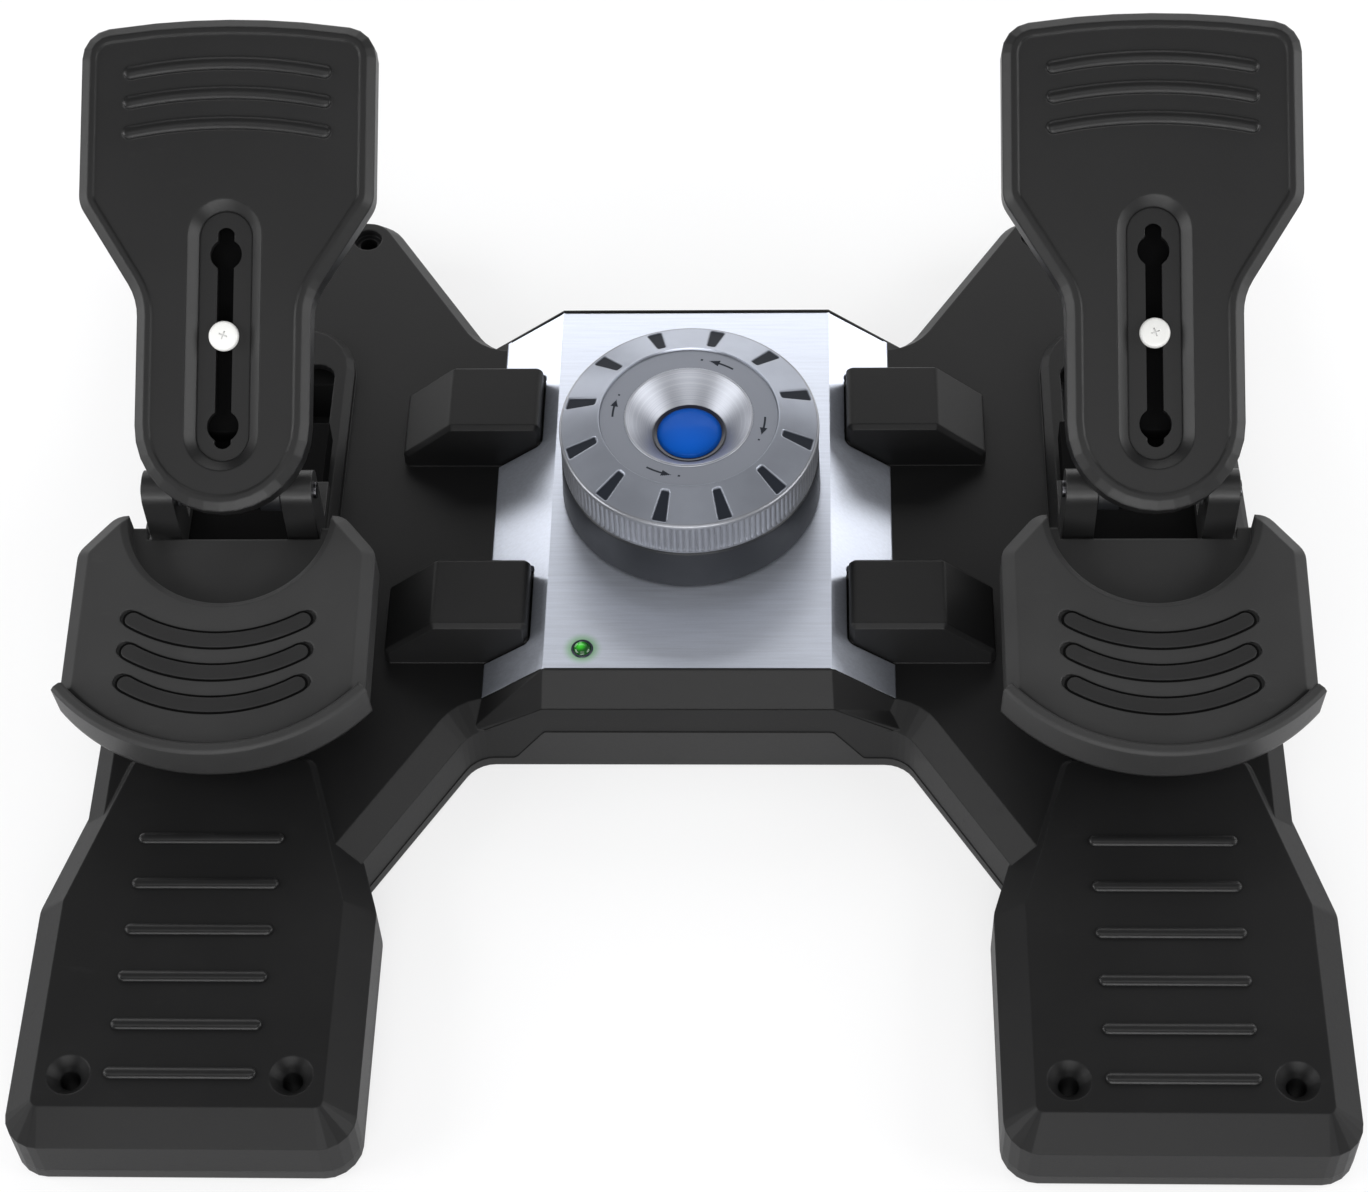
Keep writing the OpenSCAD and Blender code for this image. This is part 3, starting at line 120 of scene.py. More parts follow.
# Wells of the toe plates, in millimetres on the slope: half width, lower and upper end and depth of the
# outlines from the top edge to the floor, then the keyhole's half width, ends and circles (place, radius)
WELL_RINGS = ((13.0, -47.7, 48.2, -0.42), (12.7, -47.4, 47.9, -0.62), (9.3, -44.0, 44.5, -3.9))
KEY_HALF, KEY_LOW, KEY_HIGH = 2.9, -36.4, 35.5
KEY_CIRCLES = ((29.2, 5.6), (-31.6, 5.6), (KEY_HIGH, 3.2), (KEY_LOW, 3.3))

# Heel plates: places of the three grips up the slope, and the half length and bend of their middle lines
GRIP_PLACES = [y * MM for y in (7.0, -5.4, -17.8)]
GRIP_HALF, GRIP_BEND = 31 * MM, 58 * MM

# Screws: the clamp screw's depth in the well, radius and height of its head, radius and length of its
# shank, then the radius and height of a bracket screw's head and its place from the ends of its row
CLAMP_SINK, CLAMP_R, CLAMP_HIGH, SHANK_R, SHANK_LONG = 3.55 * MM, 5.3 * MM, 2.5 * MM, 2.45 * MM, 11.0 * MM
BRACKET_R, BRACKET_HIGH, BRACKET_PLACE = 2.9 * MM, 1.9 * MM, 2.6 * MM

# Seam between shell and cover, in millimetres: right half of the outline (x, y, corner radius), its level,
# and the front tab that the seam goes round: half width at its foot, slant, rise, and the y it lies before
SEAM_HALF = ((76, -41.5, 12), (113.5, -101, 0), (113.5, -140, 0), (207.5, -140, 0), (207.5, -41.5, 0),
             (198.5, 204, 15), (124, 204, 15), (80, 136, 16))
SEAM_LEVEL = 6
TAB_FOOT, TAB_SLANT, TAB_RISE, TAB_Y = 62, 11, 16.1, -41

# Bent edges of the centre panel as (x, depth under its top), and the fold line of the front wall as
# (x, y, z), in millimetres
PANEL_BENDS = ((-71.5, 17.2), (-50.4, 0.1), (0, 0.1), (50.4, 0.1), (71.5, 17.2))
FRONT_FOLD = ((-71.9, -41.5, 23.2), (-51, -41.5, 36), (51, -41.5, 36), (71.9, -41.5, 23.2))

# Stage: lamps as (name, place, width and height, watts), and the camera as solved from the photograph
LAMPS = (("lamp_left", (-1.5, -0.25, 0.75), (1.3, 0.9), 20.0),
         ("lamp_right", (1.5, -0.15, 0.75), (1.3, 0.9), 19.0),
         ("lamp_front", (0.05, -1.55, 1.0), (1.1, 0.6), 8.0),
         ("lamp_low", (0.0, -1.9, 0.30), (2.0, 0.4), 24.0),
         ("lamp_rear", (0.0, 1.6, 0.38), (0.9, 0.5), 2.8),
         ("lamp_top", (0.0, -0.8, 1.75), (1.2, 0.7), 5.5),
         ("lamp_back", (0.0, 1.5, 1.1), (1.6, 0.8), 10.0),
         ("lamp_wing_left", (-1.05, 1.25, 0.36), (0.8, 0.6), 5.0),
         ("lamp_wing_right", (1.05, 1.25, 0.36), (0.8, 0.6), 5.0))
LAMP_AIM = Vector((0, 0, 0.04))
WORLD_LIGHT = 0.24
CAMERA_TURN, CAMERA_TILT, CAMERA_ROLL = math.radians(3.47), math.radians(53.09), math.radians(-2.79)
CAMERA_LENS, CAMERA_PLACE = 79.24, Vector((37 * MM, -639 * MM, 899 * MM))


# Shader arithmetic

class Value:
    """A shader socket or number; arithmetic on it adds Math nodes."""

    def __init__(self, graph, source):
        self.graph, self.source = graph, source

    def through(self, operation, *others):
        """Math node of an operation on this value and the others."""
        sources = [self.source] + [o.source if isinstance(o, Value) else o for o in others]
        node = self.graph.add("ShaderNodeMath", {"operation": operation}, dict(enumerate(sources)))
        return Value(self.graph, node.outputs[0])

    def __add__(self, other):
        return self.through("ADD", other)

    def __radd__(self, other):
        return self.through("ADD", other)

    def __sub__(self, other):
        return self.through("SUBTRACT", other)

    def __rsub__(self, other):
        return Value(self.graph, other).through("SUBTRACT", self)

    def __mul__(self, other):
        return self.through("MULTIPLY", other)

    def __rmul__(self, other):
        return self.through("MULTIPLY", other)

    def __pow__(self, other):
        return self.through("POWER", other)

    def sine(self):
        """Sine of an angle in radians."""
        return self.through("SINE")

    def root(self):
        """Square root."""
        return self.through("SQRT")

    def step(self, low, high):
        """Smooth step from 0 at low to 1 at high."""
        node = self.graph.add("ShaderNodeMapRange", {"interpolation_type": "SMOOTHSTEP", "clamp": True},
                              {"Value": self.source, "From Min": low, "From Max": high})
        return Value(self.graph, node.outputs[0])


class Graph:
    """Node tree of one material with a principled shader."""

    def __init__(self, name, **sockets):
        self.material = bpy.data.materials.new(name)
        self.material.use_nodes = True
        self.tree = self.material.node_tree
        self.tree.nodes.clear()
        self.shader = self.add("ShaderNodeBsdfPrincipled", {}, sockets)
        self.output = self.add("ShaderNodeOutputMaterial", {}, {"Surface": self.shader.outputs[0]})
        self.spot = None

    def add(self, kind, settings, sockets):
        """Adds a node of a type, with its settings first and then the values or links of its sockets."""
        node = self.tree.nodes.new(kind)
        for key, value in settings.items():
            setattr(node, key, value)
        for key, value in sockets.items():
            value = value.source if isinstance(value, Value) else value
            if isinstance(value, bpy.types.NodeSocket):
                self.tree.links.new(value, node.inputs[key])
            elif isinstance(value, (tuple, list)) and len(value) == 3 and node.inputs[key].type == "RGBA":
                node.inputs[key].default_value = (*value, 1.0)
            else:
                node.inputs[key].default_value = value
        return node

    def value(self, socket):
        """A socket as a value that can be reckoned with."""
        return Value(self, socket)

    def place(self):
        """Object coordinates as one vector socket."""
        if self.spot is None:
            self.spot = self.add("ShaderNodeTexCoord", {}, {}).outputs["Object"]
        return self.spot

    def axes(self):
        """Object coordinates as three values."""
        split = self.add("ShaderNodeSeparateXYZ", {}, {0: self.place()})
        return [self.value(s) for s in split.outputs]

    def distance(self, x, y, centre):
        """Distance from an upright axis: the root of the two squared distances."""
        return ((x - float(centre[0])) ** 2.0 + (y - float(centre[1])) ** 2.0).root()

    def painted(self, name):
        """Value of a piece's own point attribute."""
        return self.value(self.add("ShaderNodeAttribute", {"attribute_name": name}, {}).outputs["Fac"])

    def scaled(self, factors, turn=(0, 0, 0)):
        """Object coordinates turned and scaled by a factor on each axis."""
        node = self.add("ShaderNodeMapping", {"vector_type": "POINT"},
                        {"Vector": self.place(), "Rotation": turn, "Scale": factors})
        return node.outputs[0]

    def noise(self, scale, detail=2.0, rough=0.5, vector=None):
        """Soft noise between 0 and 1."""
        node = self.add("ShaderNodeTexNoise", {}, {"Vector": vector or self.place(), "Scale": scale,
                                                   "Detail": detail, "Roughness": rough})
        return self.value(node.outputs[0])

    def cells(self, scale):
        """Distance to the nearest of many scattered points."""
        node = self.add("ShaderNodeTexVoronoi", {"feature": "F1"}, {"Vector": self.place(), "Scale": scale})
        return self.value(node.outputs["Distance"])

    def blend(self, factor, a, b):
        """Colour mix from a to b."""
        node = self.add("ShaderNodeMix", {"data_type": "RGBA"}, {0: factor, 6: a, 7: b})
        return node.outputs[2]

    def edge(self, radius, samples=6):
        """Normal rounded over sharp edges, and how far it turns from the face: near 1 on an edge."""
        soft = self.add("ShaderNodeBevel", {"samples": samples}, {"Radius": radius})
        face = self.add("ShaderNodeNewGeometry", {}, {})
        dot = self.add("ShaderNodeVectorMath", {"operation": "DOT_PRODUCT"},
                       {0: soft.outputs[0], 1: face.outputs["Normal"]})
        turned = self.value(dot.outputs["Value"])
        return soft.outputs[0], (1.0 - turned).step(0.004, 0.22)

    def bump(self, height, depth, strength, normal=None):
        """Normal that leans as a height falls or rises."""
        sockets = {"Height": height, "Distance": depth, "Strength": strength}
        if normal is not None:
            sockets["Normal"] = normal
        return self.add("ShaderNodeBump", {}, sockets).outputs[0]

    def set(self, **sockets):
        """Links or sets sockets of the shader; a double underscore in a name stands for a space."""
        for key, value in sockets.items():
            value = value.source if isinstance(value, Value) else value
            socket = self.shader.inputs[key.replace("__", " ")]
            if isinstance(value, bpy.types.NodeSocket):
                self.tree.links.new(value, socket)
            elif isinstance(value, (tuple, list)) and len(value) == 3:
                socket.default_value = (*value, 1.0)
            else:
                socket.default_value = value
        return self.material


def tint(colour, factor):
    """A colour times a factor, at most 1 in each part."""
    return tuple(min(1.0, c * factor) for c in colour)


# Materials

def moulded_plastic(name, colour, rough, grain=1500.0, edge_r=0.8, wear=1.3, gloss=0.3):
    """Black moulding: fine spark-eroded grain, faint cloudiness, and a painted highlight that lightens its
    edges.
    """
    g = Graph(name)
    soft, edge = g.edge(edge_r * MM)
    grain_high = g.noise(grain, 3.0, 0.6) * 0.6 + g.cells(grain * 0.8) * 0.4
    cloud = g.noise(14.0, 3.0, 0.55)
    scuff = g.noise(1.0, 4.0, 0.6, g.scaled((90.0, 260.0, 140.0), turn=(0.2, 0.1, 0.5))).step(0.60, 0.74)
    body = g.blend(cloud.step(0.3, 0.7), tint(colour, 0.88), tint(colour, 1.12))
    # edges lightened towards a brighter tint: painted highlight along the bevels
    body = g.blend(edge * 0.55, body, tint(colour, wear))
    body = g.blend(scuff * 0.12, body, tint(colour, 1.9))
    roughness = rough + (cloud - 0.5) * 0.08 - edge * 0.08 + (grain_high - 0.5) * 0.10 + scuff * 0.05
    return g.set(Base__Color=body, Roughness=roughness, Normal=g.bump(grain_high, 0.05 * MM, 0.5, soft),
                 Specular__IOR__Level=gloss)


def satin_paint(name, colour, rough, lines=(40.0, 900.0, 900.0), metal=0.85, line_depth=0.02, lamp=None):
    """Silver metallic paint on brushed metal: fine flakes over long faint brush lines. Round a lamp's
    place it turns a little green, a painted glow of the lamp's light."""
    g = Graph(name)
    soft, edge = g.edge(0.5 * MM)
    brushed = g.noise(1.0, 4.0, 0.65, g.scaled(lines))
    flake = g.noise(5200.0, 1.0, 0.4)
    cloud = g.noise(9.0, 2.0, 0.5)
    body = g.blend(brushed.step(0.25, 0.75), tint(colour, 0.93), tint(colour, 1.06))
    body = g.blend(flake.step(0.55, 0.8) * 0.25, body, tint(colour, 1.35))
    # edges lightened towards a brighter tint: painted highlight along the bevels
    body = g.blend(edge * 0.35, body, tint(colour, 1.3))
    if lamp is not None:
        x, y, _ = g.axes()
        off = g.distance(x, y, lamp)
        # green tint round the power light: painted glow of its light on the panel
        body = g.blend((1.0 - off.step(2.8 * MM, 7.5 * MM)) * 0.75, body, (0.10, 0.42, 0.08))
    roughness = rough + (brushed - 0.5) * 0.14 + (cloud - 0.5) * 0.06
    return g.set(Base__Color=body, Roughness=roughness, Metallic=metal,
                 Normal=g.bump(brushed, line_depth * MM, 0.4, soft))


def turned_metal(name, colour, centre, rough):
    """Metal turned on a lathe: the brightness runs in fine rings round the knob's axis."""
    g = Graph(name)
    x, y, z = g.axes()
    join = g.add("ShaderNodeCombineXYZ", {}, {0: g.distance(x, y, centre), 1: z, 2: 0.0})
    ring = g.noise(2600.0, 2.0, 0.6, join.outputs[0])
    smear = g.noise(60.0, 2.0, 0.5)
    body = g.blend(ring.step(0.3, 0.7), tint(colour, 0.86), tint(colour, 1.1))
    roughness = rough + (ring - 0.5) * 0.16 + (smear - 0.5) * 0.08
    return g.set(Base__Color=body, Roughness=roughness, Metallic=1.0, Normal=g.bump(ring, 0.01 * MM, 0.5))


def marked_metal(name, colour, dark, centre):
    """The knob's top: turned silver paint, with the sunk marks in darker paint and the flat ring darkened as
    painted shade.
    """
    g = Graph(name)
    x, y, _ = g.axes()
    mark, flat_ring_shade = g.painted("mark"), g.painted("ring")
    join = g.add("ShaderNodeCombineXYZ", {}, {0: g.distance(x, y, centre), 1: 0.0, 2: 0.0})
    ring = g.noise(1900.0, 2.0, 0.6, join.outputs[0])
    flake = g.noise(5200.0, 1.0, 0.4)
    smear = g.noise(45.0, 3.0, 0.55)
    body = g.blend(smear.step(0.3, 0.7), tint(colour, 0.93), tint(colour, 1.05))
    body = g.blend(flake.step(0.6, 0.8) * 0.25, body, tint(colour, 1.4))
    # flat ring darkened: painted shade, as it reflects less light than the cone
    body = g.blend(flat_ring_shade, body, tint(colour, 0.60))
    body = g.blend(mark, body, dark)
    metal = 0.85 - mark * 0.3
    roughness = 0.36 + (ring - 0.5) * 0.10 + mark * 0.3 + (smear - 0.5) * 0.06
    return g.set(Base__Color=body, Roughness=roughness, Metallic=metal, Normal=g.bump(ring, 0.01 * MM, 0.35))


def glossy_plastic(name, colour, rough, coat, gloss=0.5):
    """Clear-lacquered plastic with faint wipe marks in the lacquer."""
    g = Graph(name, **{"Coat Roughness": 0.06})
    wipe = g.noise(1.0, 4.0, 0.6, g.scaled((160.0, 600.0, 300.0), turn=(0.0, 0.0, 0.6)))
    cloud = g.noise(40.0, 2.0, 0.5)
    body = g.blend(cloud.step(0.3, 0.7), tint(colour, 0.9), tint(colour, 1.1))
    return g.set(Base__Color=body, Roughness=rough + (wipe - 0.5) * 0.1,
                 Coat__Weight=coat - (wipe - 0.5) * 0.2, Normal=g.bump(g.noise(900.0, 2.0), 0.004 * MM, 0.3),
                 Specular__IOR__Level=gloss)


def green_lens(name):
    """Lens of the power light: a dim green dome that is brighter over its lamp."""
    g = Graph(name)
    x, y, _ = g.axes()
    lamp = middle("power_light") + np.array([-0.6, 0.4, 0.0]) * MM
    core = 1.0 - g.distance(x, y, lamp).step(0.2 * MM, 2.6 * MM)
    grain = g.noise(700.0, 2.0, 0.5)
    body = g.blend(core, (0.004, 0.05, 0.006), (0.03, 0.34, 0.02))
    glow = g.blend(core * (0.7 + grain * 0.3), (0.0, 0.02, 0.0), (0.02, 0.75, 0.0))
    g.set(Base__Color=body, Roughness=0.12 + grain * 0.08, Emission__Color=glow, Coat__Weight=0.25,
          Normal=g.bump(grain, 0.01 * MM, 0.3))
    g.shader.inputs["Emission Strength"].default_value = 0.32
    return g.material


def drawn_steel(name, colour, rough=0.26, along=(900.0, 30.0, 900.0)):
    """Ground or drawn steel: fine lines along the piece and a thin film of oil."""
    g = Graph(name)
    soft, edge = g.edge(0.3 * MM, 4)
    lines = g.noise(1.0, 3.0, 0.6, g.scaled(along))
    film = g.noise(35.0, 3.0, 0.6)
    body = g.blend(film.step(0.35, 0.7), tint(colour, 0.86), tint(colour, 1.08))
    # edges lightened towards a brighter tint: painted highlight along the bevels
    body = g.blend(edge * 0.4, body, tint(colour, 1.3))
    roughness = rough + (lines - 0.5) * 0.14 + (film - 0.5) * 0.12
    return g.set(Base__Color=body, Roughness=roughness, Metallic=1.0,
                 Normal=g.bump(lines, 0.006 * MM, 0.4, soft))


def sintered_bronze(name, colour):
    """Porous bearing bronze, darker where oil sits in the pores."""
    g = Graph(name)
    pores = g.cells(3200.0).step(0.1, 0.45)
    stain = g.noise(90.0, 3.0, 0.6)
    body = g.blend(pores, tint(colour, 0.45), colour)
    body = g.blend(stain.step(0.5, 0.8) * 0.4, body, tint(colour, 0.6))
    return g.set(Base__Color=body, Roughness=0.5 - pores * 0.12 + stain * 0.1, Metallic=0.9,
                 Normal=g.bump(pores, 0.03 * MM, 0.5))


def soft_rubber(name, colour, rough=0.72):
    """Matt rubber with a bloom of dust in its low spots."""
    g = Graph(name)
    soft, edge = g.edge(0.5 * MM, 4)
    skin = g.noise(1200.0, 4.0, 0.65)
    bloom = g.noise(60.0, 3.0, 0.6).step(0.45, 0.75)
    body = g.blend(bloom * 0.5, colour, tint(colour, 1.9))
    # edges lightened towards a brighter tint: painted highlight along the bevels
    body = g.blend(edge * 0.3, body, tint(colour, 1.7))
    return g.set(Base__Color=body, Roughness=rough + (skin - 0.5) * 0.2,
                 Normal=g.bump(skin, 0.04 * MM, 0.6, soft), Specular__IOR__Level=0.3)


def solder_mask(name):
    """Green circuit board: darker tracks under the lacquer and small bright pads."""
    g = Graph(name)
    x, y, _ = g.axes()
    tracks = ((x * 2200.0).sine() * (y * 1500.0).sine() + g.noise(120.0, 2.0)).step(0.75, 0.95)
    pads = 1.0 - g.cells(420.0).step(0.12, 0.2)
    body = g.blend(tracks, (0.012, 0.085, 0.04), (0.02, 0.16, 0.06))
    body = g.blend(pads, body, (0.6, 0.6, 0.55))
    return g.set(Base__Color=body, Roughness=0.32 - pads * 0.08, Metallic=pads * 0.9,
                 Normal=g.bump(tracks * 0.4 + pads, 0.03 * MM, 0.5))


def stage_paper(name, colour):
    """Pale floor: seen directly it is near white, it keeps the shadow of what stands on it, and away from
    that it turns into the white background."""
    g = Graph(name, Roughness=0.9)
    x, y, _ = g.axes()
    away = g.distance(x, y, (0.0, 0.0)).step(0.3, 1.1)
    grain = g.noise(300.0, 2.0)
    g.set(Base__Color=g.blend(grain.step(0.3, 0.7), tint(colour, 0.995), colour), Specular__IOR__Level=0.1)
    light = g.add("ShaderNodeEmission", {}, {"Color": (1.0, 1.0, 1.0), "Strength": 1.0})
    path = g.add("ShaderNodeLightPath", {}, {})
    seen = g.value(path.outputs["Is Camera Ray"]) + g.value(path.outputs["Is Glossy Ray"]) * 0.6
    seen = seen + g.value(path.outputs["Is Transmission Ray"])
    share = (away * 0.32 + 0.68) * seen
    mix = g.add("ShaderNodeMixShader", {}, {0: share, 1: g.shader.outputs[0], 2: light.outputs[0]})
    g.tree.links.new(mix.outputs[0], g.output.inputs["Surface"])
    return g.material


# Surfaces

def quads_of(index):
    """Four-cornered faces between the neighbours of a grid of point numbers."""
    return np.stack([index[:-1, :-1], index[:-1, 1:], index[1:, 1:], index[1:, :-1]], axis=-1).reshape(-1, 4)


def surface(name, grids, material, body, smooth=True, attributes=None, turn_out=True):
    """One piece from grids of points: each grid is rows by columns by 3, with flags that say whether
    its rows and its columns close on themselves and whether its two open ends get a cap."""
    points, faces, offset = [], [], 0
    for grid, close_rows, close_columns, caps in grids:
        rows, columns = grid.shape[:2]
        index = np.arange(rows * columns).reshape(rows, columns) + offset
        if close_rows:
            index = np.vstack([index, index[:1]])
        if close_columns:
            index = np.hstack([index, index[:, :1]])
        faces += quads_of(index).tolist()
        if caps:
            first = np.arange(columns) + offset
            faces.append(first[::-1].tolist())
            faces.append((first + (rows - 1) * columns).tolist())
        points.append(grid.reshape(-1, 3))
        offset += rows * columns
    mesh = bpy.data.meshes.new(name)
    mesh.from_pydata(np.vstack(points).tolist(), [], faces)
    for key, values in (attributes or {}).items():
        layer = mesh.attributes.new(key, "FLOAT", "POINT")
        layer.data.foreach_set("value", np.asarray(values, dtype=np.float32).ravel())
    if smooth:
        mesh.shade_smooth()
    mesh.update()
    piece = bpy.data.objects.new(name, mesh)
    bpy.context.scene.collection.objects.link(piece)
    if turn_out:
        outwards(piece)
    mesh.materials.append(material)
    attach(piece, body)
    return piece


def outwards(piece):
    """Turns faces outwards after merging doubles."""
    bm = bmesh.new()
    bm.from_mesh(piece.data)
    bmesh.ops.remove_doubles(bm, verts=bm.verts, dist=1e-7)
    bmesh.ops.recalc_face_normals(bm, faces=bm.faces)
    bm.to_mesh(piece.data)
    bm.free()


def crease(piece, degrees):
    """Keeps edges sharp where two faces meet at more than an angle."""
    bm = bmesh.new()
    bm.from_mesh(piece.data)
    limit = math.radians(degrees)
    for e in bm.edges:
        e.smooth = len(e.link_faces) == 2 and e.calc_face_angle(0.0) < limit
    bm.to_mesh(piece.data)
    bm.free()
    return piece


def face_up(piece):
    """Turns the faces of an open piece so that they look upwards."""
    mesh = piece.data
    normals = np.zeros(len(mesh.polygons) * 3)
    mesh.polygons.foreach_get("normal", normals)
    if normals.reshape(-1, 3)[:, 2].sum() < 0:
        mesh.flip_normals()


def turned(profile, centre, count, wobble=None):
    """Profile of (radius, height) carried round a vertical axis: x = r cos t, y = r sin t. A wobble adds
    a length to the radius at each angle t."""
    profile = np.asarray(profile, float)
    t = np.linspace(0, 2 * np.pi, count, endpoint=False)
    r = np.repeat(profile[:, :1], count, axis=1)
    z = np.repeat(profile[:, 1:2], count, axis=1)
    if wobble is not None:
        r = r + wobble(t[None, :], profile)
    return np.stack([centre[0] + r * np.cos(t), centre[1] + r * np.sin(t), z], axis=-1)


def corner_arc(a, b, c, radius, steps):
    """Points of the arc that replaces the corner b between a and c. It touches both sides at the radius
    over the tangent of half the corner's angle, or at 0.45 of the shorter side where that is less."""
    side, other = np.linalg.norm(a - b), np.linalg.norm(c - b)
    u, v = (a - b) / side, (c - b) / other
    half = math.acos(float(np.clip(u @ v, -1, 1))) / 2
    reach = min(radius / math.tan(half), 0.45 * side, 0.45 * other)
    r = reach * math.tan(half)
    o = b + (u + v) / np.linalg.norm(u + v) * r / math.sin(half)
    start, end = (math.atan2(*(b + way * reach - o)[::-1]) for way in (u, v))
    turn = (end - start + math.pi) % (2 * math.pi) - math.pi
    return [o + r * np.array([math.cos(t), math.sin(t)]) for t in start + turn * np.linspace(0, 1, steps + 1)]


def rounded_profile(points, radius):
    """Open profile whose inner corners are replaced by arcs that touch both of their sides."""
    points = [np.asarray(p, float) for p in points]
    out = [points[0]]
    for a, b, c in zip(points[:-2], points[1:-1], points[2:]):
        out += corner_arc(a, b, c, radius, 4)
    out.append(points[-1])
    return np.array(out)


def bar(half, bend, width, height, low, flat=1.0, columns=14):
    """Round-ended bar on a flat place. Its middle line is an arc of radius bend through the origin whose
    ends curve up in Y; across, it is a superellipse whose power 2 / flat makes the top flatter as flat
    falls; towards each end the half width shrinks as the root of one minus the square of the overrun."""
    ends = np.cos(np.linspace(np.pi, 0, 15))
    left = -half + width / 2 * np.minimum(ends, 0)[:8]
    s = np.concatenate([left, np.linspace(-half, half, 41)[1:-1], -left[::-1]])
    over = np.clip(np.abs(s) - half, 0, width / 2) / (width / 2)
    wide = np.sqrt(np.clip(1 - over ** 2, 0, 1)) * width / 2
    a = np.linspace(0, 2 * np.pi, columns * 2, endpoint=False)
    across = wide[:, None] * np.sign(np.cos(a)) * np.abs(np.cos(a)) ** flat
    up = np.sign(np.sin(a)) * np.abs(np.sin(a)) ** flat
    up = np.where(up > 0, height * up, low * up)
    up = up * np.sqrt(np.clip(wide[:, None] / (width / 2), 0, 1))
    turn = s / bend
    x = (bend - across) * np.sin(turn)[:, None]
    y = bend - (bend - across) * np.cos(turn)[:, None]
    return np.stack([x, y, up], axis=-1)


def set_on(points, origin, slope, side=1.0):
    """Moves points from a sloping plate's own plane to its place, mirrored for the left side."""
    x, y, z = points[..., 0], points[..., 1], points[..., 2]
    c, s = math.cos(slope), math.sin(slope)
    out = np.stack([x + origin[0], y * c - z * s + origin[1], y * s + z * c + origin[2]], axis=-1)
    out[..., 0] *= side
    return out


def tube(path, radius, sides=10):
    """Tube along a path: each ring is a circle in the plane square to the path, spanned by the path's
    direction crossed with the upright and by the direction square to both. A path that runs upright
    somewhere is crossed with X instead."""
    path = np.asarray(path, float)
    tangent = np.gradient(path, axis=0)
    tangent /= np.linalg.norm(tangent, axis=1, keepdims=True)
    first = np.cross(tangent, [0.0, 0.0, 1.0] if abs(tangent[:, 2]).max() < 0.95 else [1.0, 0.0, 0.0])
    first /= np.linalg.norm(first, axis=1, keepdims=True)
    second = np.cross(tangent, first)
    a = np.linspace(0, 2 * np.pi, sides, endpoint=False)[:, None]
    return path[:, None] + radius * (first[:, None] * np.cos(a) + second[:, None] * np.sin(a))


def ring_tube(path, radius):
    """Tube of eight sides along a closed path: each ring is a circle spanned by the upright and by the
    path's direction crossed with it."""
    tangent = np.roll(path, -1, axis=0) - np.roll(path, 1, axis=0)
    tangent /= np.linalg.norm(tangent, axis=1, keepdims=True)
    upright = np.array([0.0, 0.0, 1.0])
    out = np.cross(tangent, upright)
    a = np.linspace(0, 2 * np.pi, 8, endpoint=False)[:, None]
    return path[:, None] + radius * (out[:, None] * np.cos(a) + upright * np.sin(a))


def rounded_outline(corners):
    """Closed outline whose corners (x, y, radius) are replaced by arcs that touch both sides. A corner
    with no radius stays sharp."""
    out = []
    places = [np.array(corner[:2], float) for corner in corners]
    for a, b, c, corner in zip(places[-1:] + places[:-1], places, places[1:] + places[:1], corners):
        out += corner_arc(a, b, c, corner[2], 5) if corner[2] > 0 else [b]
    return np.array(out)


def spread(path, count):
    """Points along an open path, equally many between each two of its corners."""
    path = np.array(path, float)
    run = np.linspace(0, len(path) - 1, count)
    return np.stack([np.interp(run, np.arange(len(path)), path[:, k]) for k in range(3)], axis=-1)


def aimed(points, axis, centre):
    """Points turned so that their Z axis runs along an axis, and moved to a centre."""
    turn = Vector((0, 0, 1)).rotation_difference(Vector(axis)).to_matrix()
    return points @ np.array(turn).T + np.asarray(centre)


def evenly(path, step):
    """Points along a closed path, about a step apart."""
    closed = np.vstack([path, path[:1]])
    run = np.concatenate([[0], np.cumsum(np.linalg.norm(np.diff(closed, axis=0), axis=1))])
    s = np.linspace(0, run[-1], max(8, int(run[-1] / step)), endpoint=False)
    return np.stack([np.interp(s, run, closed[:, k]) for k in range(closed.shape[1])], axis=-1)


# Sizes and colours that a user would change

def length(name, text, default):
    """Property for a length in metres."""
    return bpy.props.FloatProperty(name=name, description=text, default=default, min=0.0, unit="LENGTH",
                                   precision=5)


def number(name, text, default, low, high):
    """Property for a whole number."""
    return bpy.props.IntProperty(name=name, description=text, default=default, min=low, max=high)


def colour(name, text, default):
    """Property for a colour."""
    return bpy.props.FloatVectorProperty(name=name, description=text, default=default, min=0, max=1, size=3,
                                         subtype="COLOR")


class PedalColours(bpy.types.PropertyGroup):
    """Colours of the finishes."""
    shell: colour("Shell", "Black of the large mouldings", (0.0075, 0.0075, 0.0077))
    cover: colour("Cover", "Black of the bottom cover", (0.0145, 0.0145, 0.0147))
    heel: colour("Heel plates", "Greyer black of the heel plates", (0.030, 0.030, 0.0302))
    grip: colour("Grips", "Black of the heel plates' grips", (0.017, 0.017, 0.0172))
    panel: colour("Panel", "Silver of the centre panel", (0.60, 0.635, 0.72))
    knob: colour("Knob", "Silver of the knob's top", (0.31, 0.33, 0.38))
    band: colour("Knurled band", "Silver of the knurled band", (0.233, 0.24, 0.262))
    skirt: colour("Knob base", "Dark grey of the knob's lower ring", (0.011, 0.012, 0.0145))
    dish: colour("Dish", "Bright metal of the knob's dish", (0.335, 0.347, 0.382))
    disc: colour("Disc", "Blue of the disc in the knob", (0.0, 0.085, 0.46))
    screw: colour("Clamp screws", "White of the clamp screws", (0.62, 0.62, 0.605))


